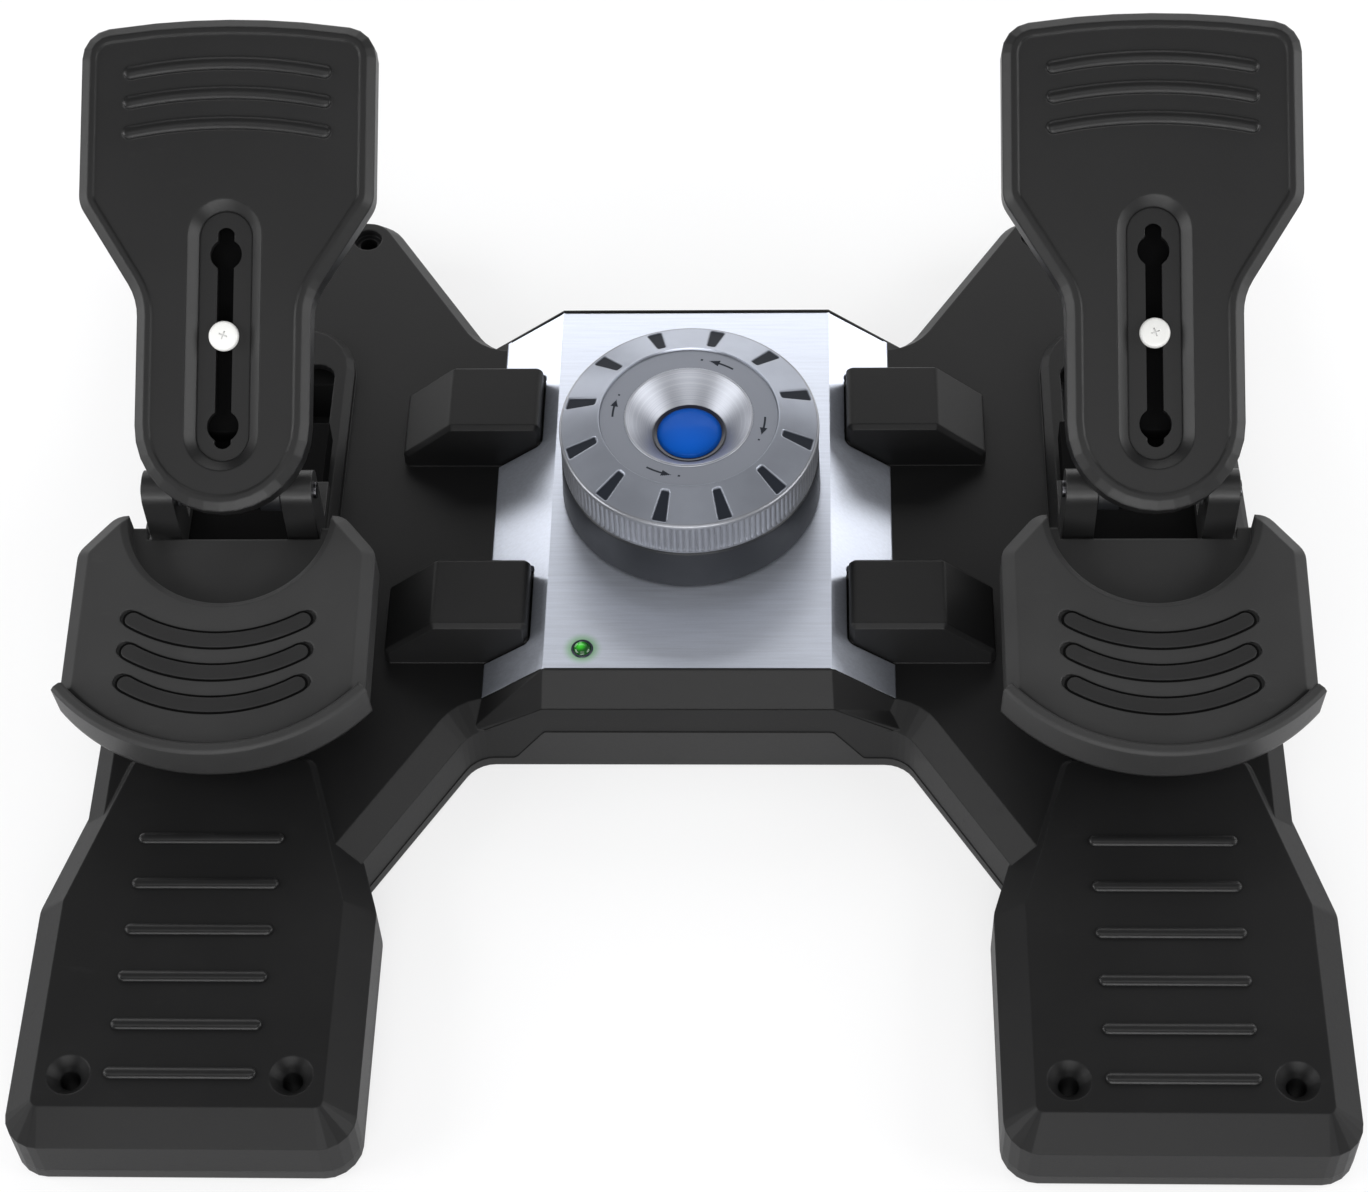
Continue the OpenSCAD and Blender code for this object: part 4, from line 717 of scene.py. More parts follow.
class PedalSizes(bpy.types.PropertyGroup):
    """Sizes of the fine forms."""
    knurls: number("Knurls", "Ridges round the knob's band", 130, 20, 240)
    knurl_depth: length("Knurl depth", "Depth of the knob's ridges", 0.7 * MM)
    marks: number("Marks", "Sunk marks on the knob's top", 12, 2, 24)
    mark_depth: length("Mark depth", "Depth of the sunk marks", 0.45 * MM)
    rib_height: length("Rib height", "Height of a heel pad's ribs", 1.5 * MM)
    rib_width: length("Rib width", "Width of a heel pad's ribs", 4.4 * MM)
    seam: length("Seam", "Radius of the dark seam lines", 0.32 * MM)


def sizes():
    """The sizes that the scene holds."""
    return bpy.context.scene.pedal_sizes


def shade(key):
    """Plain tuple of one of the colours that the scene holds."""
    return tuple(getattr(bpy.context.scene.pedal_colours, key))


MATERIALS = {}


def finish(name, maker, *args, **kwargs):
    """Makes a material once and hands it out again by name."""
    if name not in MATERIALS:
        MATERIALS[name] = maker(name, *args, **kwargs)
    return MATERIALS[name]


def dress(material, *nodes):
    """Gives CAD nodes a material."""
    for node in nodes:
        item = frame["nodes"][node]
        if not item.material_slots:
            item.data.materials.append(material)
        for slot in item.material_slots:
            slot.material = material


def both(name):
    """The left and the right node of a name."""
    return ["left_" + name, "right_" + name]


# Finishes that more than one step uses

def plate_black():
    """Moulding of the toe plates and of the lining in their wells."""
    return finish("plate_black", moulded_plastic, shade("shell"), rough=0.40, edge_r=1.2)


def heel_grip():
    """Moulding of the heel plates' grips."""
    return finish("heel_grip", moulded_plastic, shade("grip"), rough=0.46, gloss=0.16)


def black_zinc():
    """Zinc of the small dark screws."""
    return finish("black_zinc", drawn_steel, (0.05, 0.05, 0.055), rough=0.35, along=(500.0, 500.0, 500.0))


def ring_dark():
    """Lacquer of the ring round the blue disc and of the light's collar."""
    return finish("ring_dark", glossy_plastic, (0.004, 0.006, 0.02), rough=0.3, coat=0.2)


class PEDALS_OT_mouldings(bpy.types.Operator):
    """Finishes the base with its panel and feet, the heel plates, the toe plates and the hinge pieces."""
    bl_idname = "pedals.mouldings"
    bl_label = "Mouldings"

    def execute(self, context):
        shell = finish("shell_black", moulded_plastic, shade("shell"), rough=0.43, gloss=0.16)
        cover = finish("cover_black", moulded_plastic, shade("cover"), rough=0.52, grain=1100.0)
        heel = finish("heel_black", moulded_plastic, shade("heel"), rough=0.44, edge_r=1.2, wear=1.15,
                      gloss=0.16)
        bracket = finish("frame_black", moulded_plastic, shade("cover"), rough=0.38, grain=2000.0,
                         edge_r=0.5)
        # carriages and toe arms in near-black: painted shade where they sit under the plates
        inner = finish("inner_black", moulded_plastic, (0.001, 0.001, 0.0011), rough=0.7, wear=1.1,
                       gloss=0.05)
        rubber = finish("foot_rubber", soft_rubber, (0.012, 0.012, 0.012))
        silver = finish("panel_silver", satin_paint, shade("panel"), rough=0.34, lamp=middle("power_light"))
        dress(shell, "upper_shell")
        dress(cover, "bottom_cover")
        dress(plate_black(), *both("toe_plate"))
        dress(heel, *both("heel_plate"))
        dress(heel_grip(), *both("heel_grips"))
        dress(bracket, *both("hinge_brackets"), *both("rod_blocks"))
        dress(inner, *both("carriage"), *both("toe_arm"))
        dress(rubber, "rubber_feet", "cable_bushing")
        dress(silver, "centre_panel")
        return {"FINISHED"}


class PEDALS_OT_works(bpy.types.Operator):
    """Finishes the rods, pins, posts, bushes, rocker, sensors, boards and cover screws."""
    bl_idname = "pedals.works"
    bl_label = "Works"

    def execute(self, context):
        rod = finish("ground_steel", drawn_steel, (0.56, 0.57, 0.59))
        pin = finish("pin_steel", drawn_steel, (0.07, 0.07, 0.075), along=(30.0, 900.0, 900.0))
        post = finish("post_steel", drawn_steel, (0.52, 0.53, 0.55), along=(900.0, 900.0, 40.0))
        bronze = finish("bearing_bronze", sintered_bronze, (0.52, 0.34, 0.14))
        lever = finish("rocker_white", moulded_plastic, (0.58, 0.58, 0.55), rough=0.4, wear=1.1)
        sensor = finish("sensor_black", moulded_plastic, (0.006, 0.0065, 0.0075), rough=0.45, wear=1.2)
        pad = finish("friction_pad", soft_rubber, (0.05, 0.035, 0.025))
        dress(rod, *both("guide_rods"))
        dress(pin, *both("hinge_pin"))
        dress(post, "pivot_post", "knob_spindle")
        dress(bronze, *both("slider_bushes"), "rocker_bush")
        dress(lever, "rocker")
        dress(sensor, "rudder_sensor", *both("brake_sensor"))
        dress(pad, "friction_disc")
        dress(finish("board_green", solder_mask), "main_board", "light_board")
        dress(black_zinc(), "cover_screws")
        return {"FINISHED"}


def mark_field(x, y, size):
    """How deep a point of the knob's top lies in a mark, 0 to 1, and whether it lies in the dark print
    of the four plain arrows and their dots. A mark is a bar along a radius that widens outwards, with
    round corners: its distance is that of a box whose half width grows with the radius. An arrow is a
    thin band round the knob that ends in a triangle, whose half width falls to nothing at its tip."""
    r, a = np.hypot(x, y), np.arctan2(y, x)
    pitch = 2 * np.pi / size.marks
    local = ((a - MARK_TURN) / pitch) % 1
    local = (local - 0.5) * pitch
    along, across = r * np.cos(local) - MARK_R, r * np.sin(local)
    wide = MARK_WIDE + MARK_GROWTH * (along + MARK_INSIDE)
    dx, dy = np.abs(along) - MARK_HALF, np.abs(across) - (wide - MARK_CORNER)
    far = np.hypot(np.maximum(dx, 0), np.maximum(dy, 0)) + np.minimum(np.maximum(dx, dy), 0) - MARK_CORNER
    sunk = np.clip(0.5 - far / (0.5 * MM), 0, 1)
    ink = np.zeros_like(r)
    off = np.abs(r - ARROW_R)
    for start, end in ARROWS:
        span = (a - start + np.pi) % (2 * np.pi) - np.pi
        run = span / (end - start)
        line = (off < ARROW_LINE) & (run > 0) & (run < 0.72)
        head = (off < ARROW_HEAD * (1 - (run - 0.62) / 0.38)) & (run > 0.62) & (run < 1)
        dot = (off < ARROW_LINE) & (np.abs(run - 1.3) < 0.045)
        ink = np.maximum(ink, (line | head | dot).astype(float))
    return sunk, ink


def knurled_band(size):
    """Side of the knob with its ridges. At an angle t they take the knurl depth, times one minus the 0.8th
    power of the sine's size of half of t times their number, off the radius. This fades out over the last
    0.6 mm of the band's height at both ends."""
    def knurl(t, profile):
        """Length that the ridges add to the radius at angles t, zero on a ridge and negative between two."""
        radius, height = profile[:, :1], profile[:, 1]
        inside = np.clip((height - BAND_LOW) / (0.6 * MM), 0, 1)
        inside *= np.clip((BAND_HIGH - height) / (0.6 * MM), 0, 1)
        ridge = np.abs(np.sin(t * size.knurls / 2)) ** 0.8
        return -size.knurl_depth * (1 - ridge) * inside[:, None] * (radius > KNOB_R * 0.9)

    r, foot = KNOB_R, SKIRT_TOP + 0.1 * MM
    side = [(r - 3 * MM, foot), (r - 0.35 * MM, foot), (r - 0.35 * MM, BAND_LOW)]
    side += [(r - 0.15 * MM, h) for h in np.linspace(BAND_LOW + 0.1 * MM, BAND_HIGH - 0.1 * MM, 12)]
    side += [(r - 0.15 * MM, BAND_HIGH), (r, BAND_HIGH + 0.25 * MM), (r, RIM - 0.9 * MM)]
    side += [(r - 0.12 * MM, RIM - 0.45 * MM), (r - 0.45 * MM, RIM - 0.1 * MM),
             (r - 0.95 * MM, RIM + 0.05 * MM)]
    silver = finish("band_silver", satin_paint, shade("band"), rough=0.34, lines=(60.0, 60.0, 60.0),
                    metal=0.7, line_depth=0.002)
    return surface("knob_band", [(turned(side, KNOB_AT, size.knurls * 6, knurl), False, True, False)], silver,
                   "knob", turn_out=False)


def marked_top(size):
    """Top of the knob: a cone with sunk marks, a small step and the flat ring inside it. The height comes
    from the radius by straight lines between four corners, less the mark depth times how deep the point
    lies in a mark."""
    outer, step_out, step_in = KNOB_R - 0.95 * MM, 31.85 * MM, 31.45 * MM
    radius = np.concatenate([np.linspace(outer, CONE_R, 56), np.linspace(step_out, step_in, 4),
                             np.linspace(31.3 * MM, 22.95 * MM, 36)])
    level = np.interp(radius, [step_in, step_out, CONE_R, outer],
                      [KNOB_TOP - 0.8 * MM, KNOB_TOP, KNOB_TOP, RIM + 0.05 * MM])
    grid = turned(np.stack([radius, level], axis=-1), KNOB_AT, 1008)
    sunk, ink = mark_field(grid[..., 0] - KNOB_AT[0], grid[..., 1] - KNOB_AT[1], size)
    sunk = sunk * (radius[:, None] > CONE_R)
    grid[..., 2] -= size.mark_depth * sunk
    # ring marks the flat ring inside the step, which the finish darkens as painted shade
    ring = np.repeat((radius < 31.6 * MM).astype(float)[:, None], grid.shape[1], axis=1)
    silver = finish("knob_marked", marked_metal, shade("knob"), (0.005, 0.008, 0.015), KNOB_AT)
    cap = surface("knob_top", [(grid, False, True, False)], silver, "knob", turn_out=False,
                  attributes={"mark": np.maximum(sunk, ink * ring).ravel(), "ring": ring.ravel()})
    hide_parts("knob_cap")
    return cap


def lower_ring():
    """Dark ring under the band: a rounded profile, turned round the axis."""
    inside, foot = KNOB_R - 3 * MM, PANEL_TOP + 0.65 * MM
    profile = [(inside, PANEL_TOP + 1.4 * MM), (inside, foot), (KNOB_R + 0.6 * MM, foot),
               (KNOB_R - 0.05 * MM, SKIRT_TOP - 0.8 * MM), (KNOB_R - 0.8 * MM, SKIRT_TOP),
               (inside, SKIRT_TOP)]
    grid = turned(rounded_profile(profile, 0.6 * MM), KNOB_AT, 256)
    dark = finish("knob_dark", glossy_plastic, shade("skirt"), rough=0.38, coat=0.04, gloss=0.2)
    ring = surface("knob_base", [(grid, False, True, False)], dark, "knob")
    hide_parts("knob_skirt")


def bright_dish():
    """Dish in the knob's top: a rounded profile of (radius, depth) from rim to floor, turned round the
    axis."""
    corners = ((22.9, 1.4), (22.9, 0.55), (22.1, 0.42), (13.2, 9.7), (12.4, 10.0), (11.75, 10.3),
               (11.7, 11.1), (0.02, 11.1))
    profile = rounded_profile([(r * MM, KNOB_TOP - deep * MM) for r, deep in corners], 0.5 * MM)
    grid = turned(profile, KNOB_AT, 256)
    bright = finish("dish_bright", turned_metal, shade("dish"), KNOB_AT, rough=0.46)
    dish = surface("dish", [(grid, False, True, False)], bright, "knob", turn_out=False)
    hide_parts("knob_dish")
    return dish


def blue_disc():
    """Disc in the dish, whose dome is a quarter ellipse turned round the axis, and the dark ring round
    its foot, a rounded profile of (radius, depth)."""
    dome = [(11.5 * MM, KNOB_TOP - 11.0 * MM), (11.5 * MM, KNOB_TOP - 9.6 * MM)]
    dome += [(11.1 * MM * math.cos(t), KNOB_TOP - 9.4 * MM + 1.7 * MM * math.sin(t))
             for t in np.linspace(0, np.pi / 2, 14)]
    blue = finish("disc_blue", glossy_plastic, shade("disc"), rough=0.42, coat=0.04, gloss=0.12)
    disc = surface("blue_disc", [(turned(dome, KNOB_AT, 128), False, True, True)], blue, "knob")
    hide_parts("knob_centre")
    seat = [(r * MM, KNOB_TOP - deep * MM) for r, deep in ((11.55, 9.75), (12.2, 9.55), (12.9, 9.45))]
    surface("disc_ring", [(turned(rounded_profile(seat, 0.2 * MM), KNOB_AT, 128), False, True, False)],
            ring_dark(), "knob", turn_out=False)


class PEDALS_OT_knob(bpy.types.Operator):
    """Makes the tension knob: knurled band, marked top, dark lower ring, dish and blue disc."""
    bl_idname = "pedals.knob"
    bl_label = "Tension knob"

    def execute(self, context):
        size = sizes()
        band, cap = knurled_band(size), marked_top(size)
        lower_ring()
        dish = bright_dish()
        blue_disc()
        for item in (band, cap, dish):
            crease(item, 50)
        return {"FINISHED"}


class PEDALS_OT_ribs(bpy.types.Operator):
    """Makes the rounded ribs of the heel pads and of the toe plates."""
    bl_idname = "pedals.ribs"
    bl_label = "Ribs"

    def execute(self, context):
        size = sizes()
        black = finish("rib_black", moulded_plastic, shade("shell"), rough=0.34, grain=1800.0)
        for word, side in SIDES:
            ribs = []
            for y in PAD_RIBS:
                rib = bar(22.8 * MM, 60.0, size.rib_width, size.rib_height, 0.3 * MM)
                rib = rib + np.array([PEDAL_X, y, PAD_TOP])
                rib[..., 0] *= side
                ribs.append((rib, False, True, True))
            surface(word + "_pad_ribs", ribs, black, "base")
            arches = []
            for place in TOE_RIBS:
                arch = bar(34.6 * MM, 175 * MM, 4.8 * MM, 1.35 * MM, 0.3 * MM)
                arch[..., 1] = place - arch[..., 1]
                arch[..., 2] -= 0.5 * MM
                arches.append((set_on(arch, TOE_ORIGIN, TOE_SLOPE, side), False, True, True))
            surface(word + "_toe_ribs", arches, black, word + "_toe_rest")
            walls, *floors = (set_on(grid, TOE_ORIGIN, TOE_SLOPE, side) for grid in well_lining())
            grids = [(walls, False, True, False)] + [(grid, False, False, False) for grid in floors]
            lining = surface(word + "_well", grids, plate_black(), word + "_toe_rest")
            face_up(crease(lining, 25))
        return {"FINISHED"}


def well_lining():
    """Sloping walls and floor of the toe plate's well, in the plate's own plane. The walls run between two
    round-ended outlines, the lower one narrower. The floor is made in rows across: at each place u it runs
    from the keyhole's half width, the largest of its slot's and its circles', to the outline's own."""
    def half_at(u, half, low, top):
        """Half width at a place u: the root of the squared half less the squared run into a round end."""
        over = np.clip(np.maximum(u - (top - half), low + half - u), 0, half)
        return np.sqrt(np.clip(half ** 2 - over ** 2, 0, None))

    a = np.linspace(0, np.pi, 25)
    walls = []
    for half, low, top, deep in WELL_RINGS:
        upper = np.stack([half * np.cos(a), top - half + half * np.sin(a)], axis=-1)
        lower = np.stack([-half * np.cos(a), low + half - half * np.sin(a)], axis=-1)
        ring = np.vstack([upper, lower])
        walls.append(np.column_stack([ring, np.full(len(ring), deep)]))
    half, low, top, deep = WELL_RINGS[-1]
    rows = low + (top - low) * (1 - np.cos(np.linspace(0, np.pi, 90))) / 2
    keys = [place + way * radius for place, radius in KEY_CIRCLES[:2] for way in (-1, 1)]
    tips = [place + way * radius for (place, radius), way in zip(KEY_CIRCLES[2:], (1, -1))]
    u = np.sort(np.concatenate([rows, keys, [tip + way * 0.01 for tip in tips for way in (-1, 1)]]))
    outer = half_at(u, half, low, top)
    inner = np.where((u > KEY_LOW) & (u < KEY_HIGH), KEY_HALF, 0.0)
    for place, radius in KEY_CIRCLES:
        inner = np.maximum(inner, np.sqrt(np.clip(radius ** 2 - (u - place) ** 2, 0, None)))
    share = np.linspace(0, 1, 5)
    across = np.minimum(inner, outer)[:, None] * (1 - share) + outer[:, None] * share
    up = np.repeat(u[:, None], 5, axis=1)
    floor = np.full_like(across, deep)
    right = np.stack([across, up, floor], axis=-1)
    left = np.stack([-across[:, ::-1], up, floor], axis=-1)
    return [np.stack(walls) * MM, right * MM, left * MM]


class PEDALS_OT_grips(bpy.types.Operator):
    """Makes the curved grips of the heel plates with dark rings round them, painted shadow in the gaps round
    the grips.
    """
    bl_idname = "pedals.grips"
    bl_label = "Grips"

    def execute(self, context):
        # near-black finish of the rings round the grips: painted shadow in their gaps
        dark = finish("grip_line", moulded_plastic, (0.001, 0.001, 0.001), rough=0.8, wear=1.0, gloss=0.05)
        for word, side in SIDES:
            grips, edges = [], []
            for place in GRIP_PLACES:
                grip = bar(GRIP_HALF, GRIP_BEND, 5.7 * MM, 0.5 * MM, 0.8 * MM, 0.4)
                grip = grip + np.array([0, place, -0.2 * MM])
                grips.append((set_on(grip, HEEL_ORIGIN, HEEL_SLOPE, side), False, True, True))
                line = bar(GRIP_HALF, GRIP_BEND, 6.3 * MM, 0.0, 0.0, columns=1)
                line = np.vstack([line[:, 0], line[::-1, 1]])
                line = line[np.linalg.norm(line - np.roll(line, 1, axis=0), axis=1) > 0.01 * MM]
                # dark ring tube round each grip: painted shadow in the gap between grip and plate
                ring = ring_tube(evenly(line, 1.2 * MM) + np.array([0, place, -0.15 * MM]), 0.48 * MM)
                edges.append((set_on(ring, HEEL_ORIGIN, HEEL_SLOPE, side), True, True, False))
            piece = surface(word + "_grips", grips, heel_grip(), word + "_pedal")
            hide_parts(word + "_heel_grips")
            surface(word + "_grip_edges", edges, dark, word + "_pedal")
        return {"FINISHED"}


def screw_head(centre, axis, radius, height):
    """Pan head: its profile is a quarter ellipse over a short wall, turned round the screw's axis."""
    profile = [(radius * 0.96, -0.2 * height), (radius, 0.0), (radius, 0.35 * height)]
    profile += [(radius * (0.82 + 0.18 * math.cos(t)), height * (0.35 + 0.6 * math.sin(t)))
                for t in np.linspace(0, np.pi / 2, 7)[1:]]
    profile += [(radius * 0.4, height), (1e-6, height)]
    return aimed(turned(profile, (0.0, 0.0), 48), axis, centre)


def cross_recess(centre, axis, reach, width, depth, spin=0.0):
    """Sunk cross of a screw drive: a closed star of twelve points, narrowing to a smaller one below. Its
    quarter of three points is turned by right angles."""
    w = width / 2
    star = np.array([(reach, -w), (reach, w), (w, w)])
    for _ in range(3):
        star = np.vstack([star, star[-3:] @ np.array([[0, 1], [-1, 0]])])
    c, s = math.cos(spin), math.sin(spin)
    star = star @ np.array([[c, s], [-s, c]])
    steps = ((1.0, 0.05 * MM), (0.93, -0.02 * MM), (0.55, -depth))
    rows = [np.column_stack([star * share, np.full(12, height)]) for share, height in steps]
    return aimed(np.stack(rows), axis, centre)


class PEDALS_OT_screws(bpy.types.Operator):
    """Makes the white clamp screws and the small dark screws of the brackets, with their drives."""
    bl_idname = "pedals.screws"
    bl_label = "Screws"

    def execute(self, context):
        white = finish("screw_white", moulded_plastic, shade("screw"), rough=0.34, grain=2600.0, wear=1.08,
                       gloss=0.5)
        # the clamp screw's cross drive in darker grey: painted shade in the recess
        grey = finish("drive_grey", moulded_plastic, (0.5, 0.5, 0.49), rough=0.5, wear=1.2)
        # the bracket screws' drives near black: painted shade in the recess
        dark = finish("drive_dark", soft_rubber, (0.02, 0.02, 0.02))
        normal = np.array([0, -math.sin(TOE_SLOPE), math.cos(TOE_SLOPE)])
        for word, side in SIDES:
            seat = TOE_ORIGIN * [side, 1, 1] - normal * CLAMP_SINK
            head = screw_head(seat, normal, CLAMP_R, CLAMP_HIGH)
            shank = aimed(turned([(SHANK_R, -SHANK_LONG), (SHANK_R, 0.0)], (0.0, 0.0), 24), normal, seat)
            piece = surface(word + "_clamp_head", [(head, False, True, False), (shank, False, True, True)],
                            white, word + "_toe_lever")
            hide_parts(word + "_clamp_screw")
            drive = cross_recess(seat + normal * CLAMP_HIGH, normal, 1.5 * MM, 0.45 * MM, 0.3 * MM,
                                 0.35 * side)
            surface(word + "_clamp_drive", [(drive, False, True, True)], grey, word + "_toe_lever",
                    smooth=False)
            node = word + "_bracket_screws"
            low, high = low_of(node), high_of(node)
            heads, drives = [], []
            for x in (low[0] + BRACKET_PLACE, high[0] - BRACKET_PLACE):
                place = np.array([x, middle(node)[1], low[2]])
                heads.append((screw_head(place, (0, 0, 1), BRACKET_R, BRACKET_HIGH), False, True, False))
                drive = cross_recess(place + [0, 0, BRACKET_HIGH], (0, 0, 1), 1.6 * MM, 0.6 * MM, 0.5 * MM)
                drives.append((drive, False, True, True))
            piece = surface(word + "_bracket_heads", heads, black_zinc(), word + "_pedal")
            surface(word + "_bracket_drives", drives, dark, word + "_pedal", smooth=False)
            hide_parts(node)
        return {"FINISHED"}


def coil(radius, end, turns, pitch):
    """Helix round the Z axis that climbs by a pitch in each turn, with a short straight end on both
    sides."""
    t = np.linspace(0, 2 * np.pi * turns, turns * 36 + 1)
    body = np.stack([radius * np.cos(t), radius * np.sin(t), pitch * t / (2 * np.pi)], axis=-1)
    return np.vstack([body[0] - [0, end, 0], body, body[-1] + [0, end, 0]])


class PEDALS_OT_springs(bpy.types.Operator):
    """Makes the centring spring and the two brake springs as smooth wire."""
    bl_idname = "pedals.springs"
    bl_label = "Springs"

    def execute(self, context):
        wire = finish("spring_wire", drawn_steel, (0.50, 0.51, 0.53), rough=0.3, along=(700.0, 700.0, 700.0))
        centre = middle("centring_spring")
        centre[2] = low_of("centring_spring")[2] + 0.8 * MM
        path = coil(10 * MM, 3.2 * MM, 4, 2.3 * MM) + centre
        piece = surface("centring_coil", [(tube(path, 0.78 * MM), False, True, True)], wire, "rocker_lever")
        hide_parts("centring_spring")
        for word, side in SIDES:
            path = coil(5 * MM, 2.4 * MM, 3, 1.75 * MM)
            path = np.stack([side * (path[:, 2] + 12.4 * MM), path[:, 1], -path[:, 0]], axis=-1)
            path = path + joint_place("toe_brake_" + word)
            piece = surface(word + "_brake_coil", [(tube(path, 0.58 * MM), False, True, True)], wire,
                            word + "_toe_lever")
            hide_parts(word + "_brake_spring")
        return {"FINISHED"}


class PEDALS_OT_light(bpy.types.Operator):
    """Makes the green power light, whose dome is a quarter ellipse turned round its axis, with a dark
    rounded collar."""
    bl_idname = "pedals.light"
    bl_label = "Power light"

    def execute(self, context):
        at = middle("power_light")
        z = PANEL_TOP
        dome = [(3.05 * MM, z - 4.5 * MM), (3.05 * MM, z + 0.1 * MM)]
        dome += [(3.0 * MM * math.cos(t), z + 0.1 * MM + 1.5 * MM * math.sin(t))
                 for t in np.linspace(0, np.pi / 2, 12)]
        piece = surface("light_dome", [(turned(dome, at, 64), False, True, True)],
                        finish("light_green", green_lens), "base")
        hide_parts("power_light")
        collar = rounded_profile([(3.08 * MM, z - 0.3 * MM), (3.08 * MM, z + 0.35 * MM),
                                  (3.75 * MM, z + 0.35 * MM), (3.95 * MM, z - 0.2 * MM)], 0.15 * MM)
        surface("light_collar", [(turned(collar, at, 64), False, True, False)], ring_dark(), "base",
                turn_out=False)
        return {"FINISHED"}


class PEDALS_OT_seams(bpy.types.Operator):
    """Makes the dark seam between shell and cover, the dark edges of the centre panel, and a dark line along
    the fold of the front wall, which is painted shade in its crease. The seam's height is its level plus
    the tab's rise, times how far a place lies up the tab's slant."""
    bl_idname = "pedals.seams"
    bl_label = "Seams"

    def execute(self, context):
        # dark of the seam and panel edges, which are dark joints, and of the front fold's painted shade
        dark = finish("seam_dark", soft_rubber, (0.002, 0.002, 0.002), rough=0.8)
        corners = SEAM_HALF + tuple((-x, y, r) for x, y, r in SEAM_HALF[::-1])
        outline = evenly(rounded_outline(corners) * MM, 1.5 * MM)
        rise = np.clip((TAB_FOOT * MM - np.abs(outline[:, 0])) / (TAB_SLANT * MM), 0, 1)
        rise = rise * (outline[:, 1] < TAB_Y * MM)
        loop = np.column_stack([outline, SEAM_LEVEL * MM + TAB_RISE * MM * rise])
        surface("cover_seam", [(ring_tube(loop, sizes().seam), True, True, False)], dark, "base")
        strips = []
        a = np.linspace(0, 2 * np.pi, 8, endpoint=False)
        upright = np.stack([np.zeros(8), np.cos(a), np.sin(a)], axis=-1)
        for y, radius in ((low_of("centre_panel")[1], 0.3), (high_of("centre_panel")[1], 0.6)):
            path = spread([(x * MM, y, PANEL_TOP - deep * MM) for x, deep in PANEL_BENDS], 60)
            strips.append((path[:, None] + upright * radius * MM, False, True, True))
        # dark tube along the fold of the front wall: painted shade in its crease
        strips.append((tube(spread(np.array(FRONT_FOLD) * MM, 46), 0.26 * MM, 8), False, True, True))
        surface("panel_edges", strips, dark, "base")
        return {"FINISHED"}


def pale_floor(scene):
    """Flat square of twelve metres for the stage."""
    u = np.linspace(-6, 6, 25)
    x, y = np.meshgrid(u, u)
    grid = np.stack([x, y, np.zeros_like(x)], axis=-1).reshape(-1, 3)
    mesh = bpy.data.meshes.new("floor")
    mesh.from_pydata(grid.tolist(), [], quads_of(np.arange(len(grid)).reshape(x.shape)).tolist())
    floor = bpy.data.objects.new("floor", mesh)
    scene.collection.objects.link(floor)
    mesh.materials.append(finish("floor_pale", stage_paper, (0.86, 0.86, 0.87)))


def pale_world(scene):
    """World that looks white to the camera and lights the stage less brightly."""
    world = bpy.data.worlds.new("studio")
    scene.world = world
    world.use_nodes = True
    tree = world.node_tree
    tree.nodes.clear()
    output = tree.nodes.new("ShaderNodeOutputWorld")
    mix = tree.nodes.new("ShaderNodeMixShader")
    seen = tree.nodes.new("ShaderNodeBackground")
    light = tree.nodes.new("ShaderNodeBackground")
    path = tree.nodes.new("ShaderNodeLightPath")
    for node, strength in ((seen, 1.0), (light, WORLD_LIGHT)):
        node.inputs[0].default_value = (1.0, 1.0, 1.0, 1.0)
        node.inputs[1].default_value = strength
    tree.links.new(path.outputs["Is Camera Ray"], mix.inputs[0])
    tree.links.new(light.outputs[0], mix.inputs[1])
    tree.links.new(seen.outputs[0], mix.inputs[2])
    tree.links.new(mix.outputs[0], output.inputs[0])


def soft_lamp(scene, name, place, size, power):
    """Rectangular lamp that faces the middle of the object."""
    data = bpy.data.lights.new(name, "AREA")
    data.shape = "RECTANGLE"
    data.size, data.size_y = size
    data.energy = power
    lamp = bpy.data.objects.new(name, data)
    scene.collection.objects.link(lamp)
    lamp.location = place
    lamp.rotation_euler = (LAMP_AIM - Vector(place)).to_track_quat("-Z", "Y").to_euler()


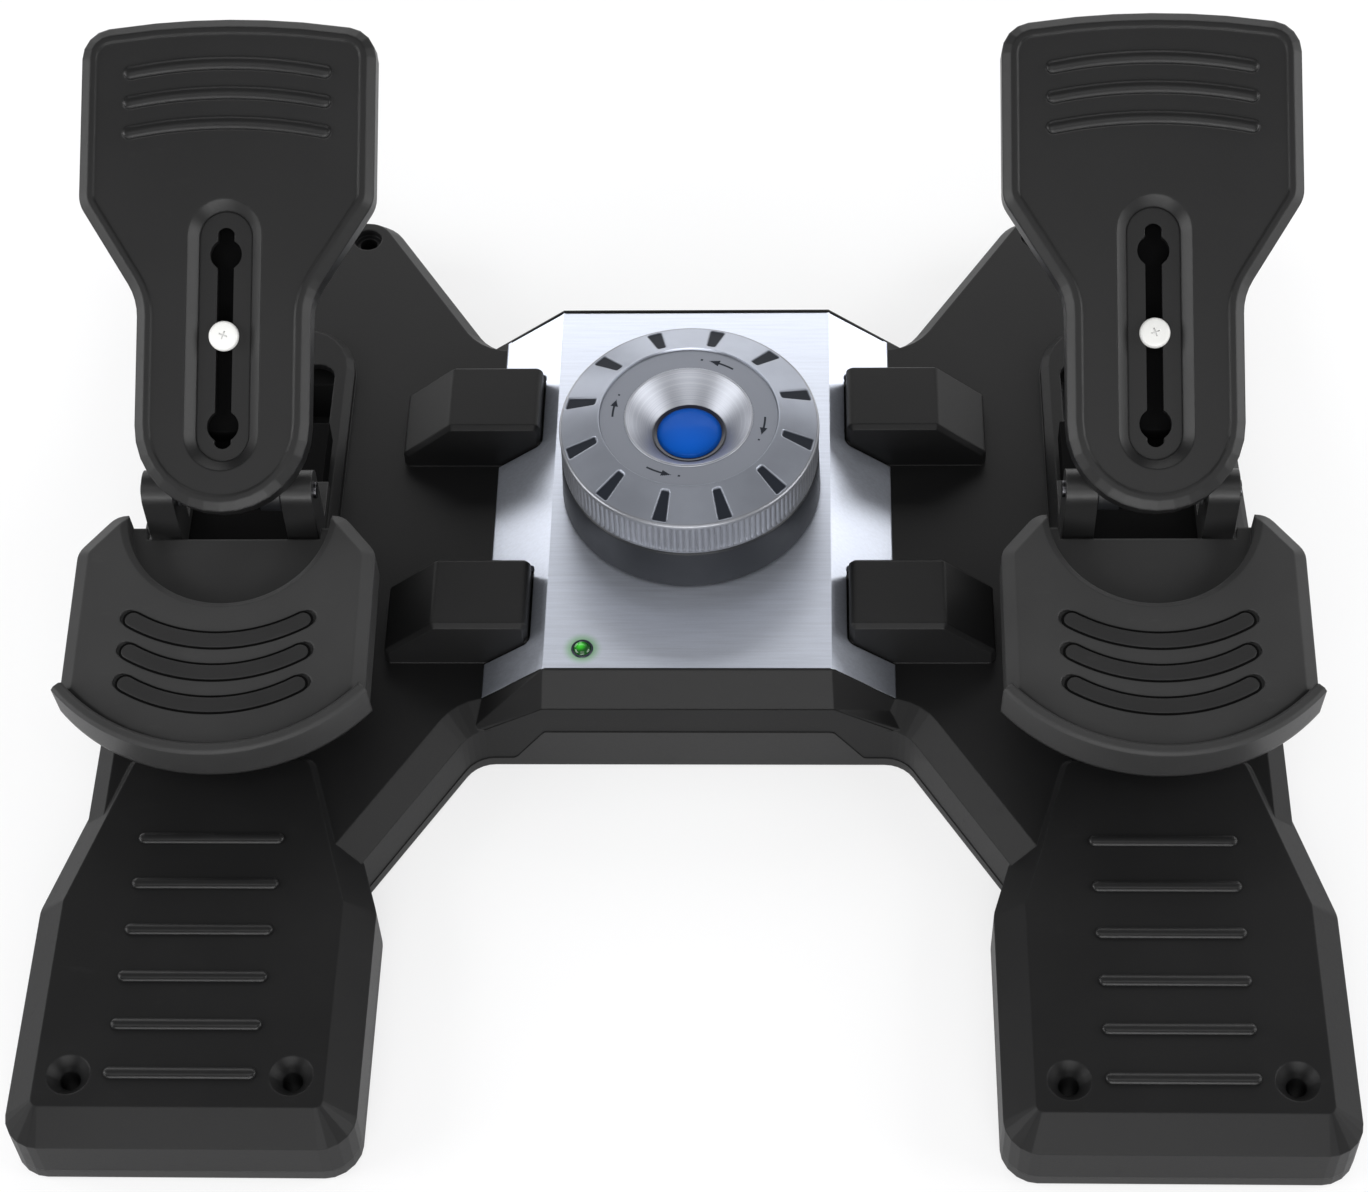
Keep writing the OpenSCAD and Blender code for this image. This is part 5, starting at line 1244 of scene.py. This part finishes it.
def photo_camera(scene):
    """Camera whose axes come from its turn about Z, its tilt below the level and its roll."""
    turn, tilt, roll = CAMERA_TURN, CAMERA_TILT, CAMERA_ROLL
    ahead = np.array([-math.sin(turn) * math.cos(tilt), math.cos(turn) * math.cos(tilt), -math.sin(tilt)])
    right = np.array([math.cos(turn), math.sin(turn), 0.0])
    up = np.cross(right, ahead)
    right, up = right * math.cos(roll) + up * math.sin(roll), up * math.cos(roll) - right * math.sin(roll)
    data = bpy.data.cameras.new("camera")
    data.sensor_fit, data.sensor_width = "HORIZONTAL", 36.0
    data.lens, data.clip_end = CAMERA_LENS, 30.0
    camera = bpy.data.objects.new("camera", data)
    scene.collection.objects.link(camera)
    matrix = Matrix(np.column_stack([right, up, -ahead]).tolist()).to_4x4()
    matrix.translation = CAMERA_PLACE
    camera.matrix_world = matrix
    scene.camera = camera


class PEDALS_OT_stage(bpy.types.Operator):
    """Makes the floor, the soft lamps, the pale world and the camera at the photograph's angle."""
    bl_idname = "pedals.stage"
    bl_label = "Stage"

    def execute(self, context):
        scene = bpy.context.scene
        pale_floor(scene)
        pale_world(scene)
        for lamp in LAMPS:
            soft_lamp(scene, *lamp)
        photo_camera(scene)
        scene.view_settings.view_transform = "Standard"
        return {"FINISHED"}


ORDER = (PEDALS_OT_mouldings, PEDALS_OT_works, PEDALS_OT_knob, PEDALS_OT_ribs, PEDALS_OT_grips,
         PEDALS_OT_screws, PEDALS_OT_springs, PEDALS_OT_light, PEDALS_OT_seams, PEDALS_OT_stage)


class PEDALS_PT_panel(bpy.types.Panel):
    """Lists the steps in the sidebar."""
    bl_idname = "PEDALS_PT_panel"
    bl_label = "Rudder pedals"
    bl_space_type = "VIEW_3D"
    bl_region_type = "UI"
    bl_category = "Pedals"

    def draw(self, context):
        column = self.layout.column()
        for group in (context.scene.pedal_sizes, context.scene.pedal_colours):
            for key in group.__annotations__:
                column.prop(group, key)
        for step in ORDER:
            column.operator(step.bl_idname)


CLASSES = (PedalColours, PedalSizes) + ORDER + (PEDALS_PT_panel,)


def register():
    for item in CLASSES:
        bpy.utils.register_class(item)
    bpy.types.Scene.pedal_sizes = bpy.props.PointerProperty(type=PedalSizes)
    bpy.types.Scene.pedal_colours = bpy.props.PointerProperty(type=PedalColours)


def unregister():
    del bpy.types.Scene.pedal_sizes
    del bpy.types.Scene.pedal_colours
    for item in reversed(CLASSES):
        bpy.utils.unregister_class(item)


def main():
    register()
    for step in ORDER:
        area, name = step.bl_idname.split(".")
        getattr(getattr(bpy.ops, area), name)()


if __name__ == "__main__":
    main()
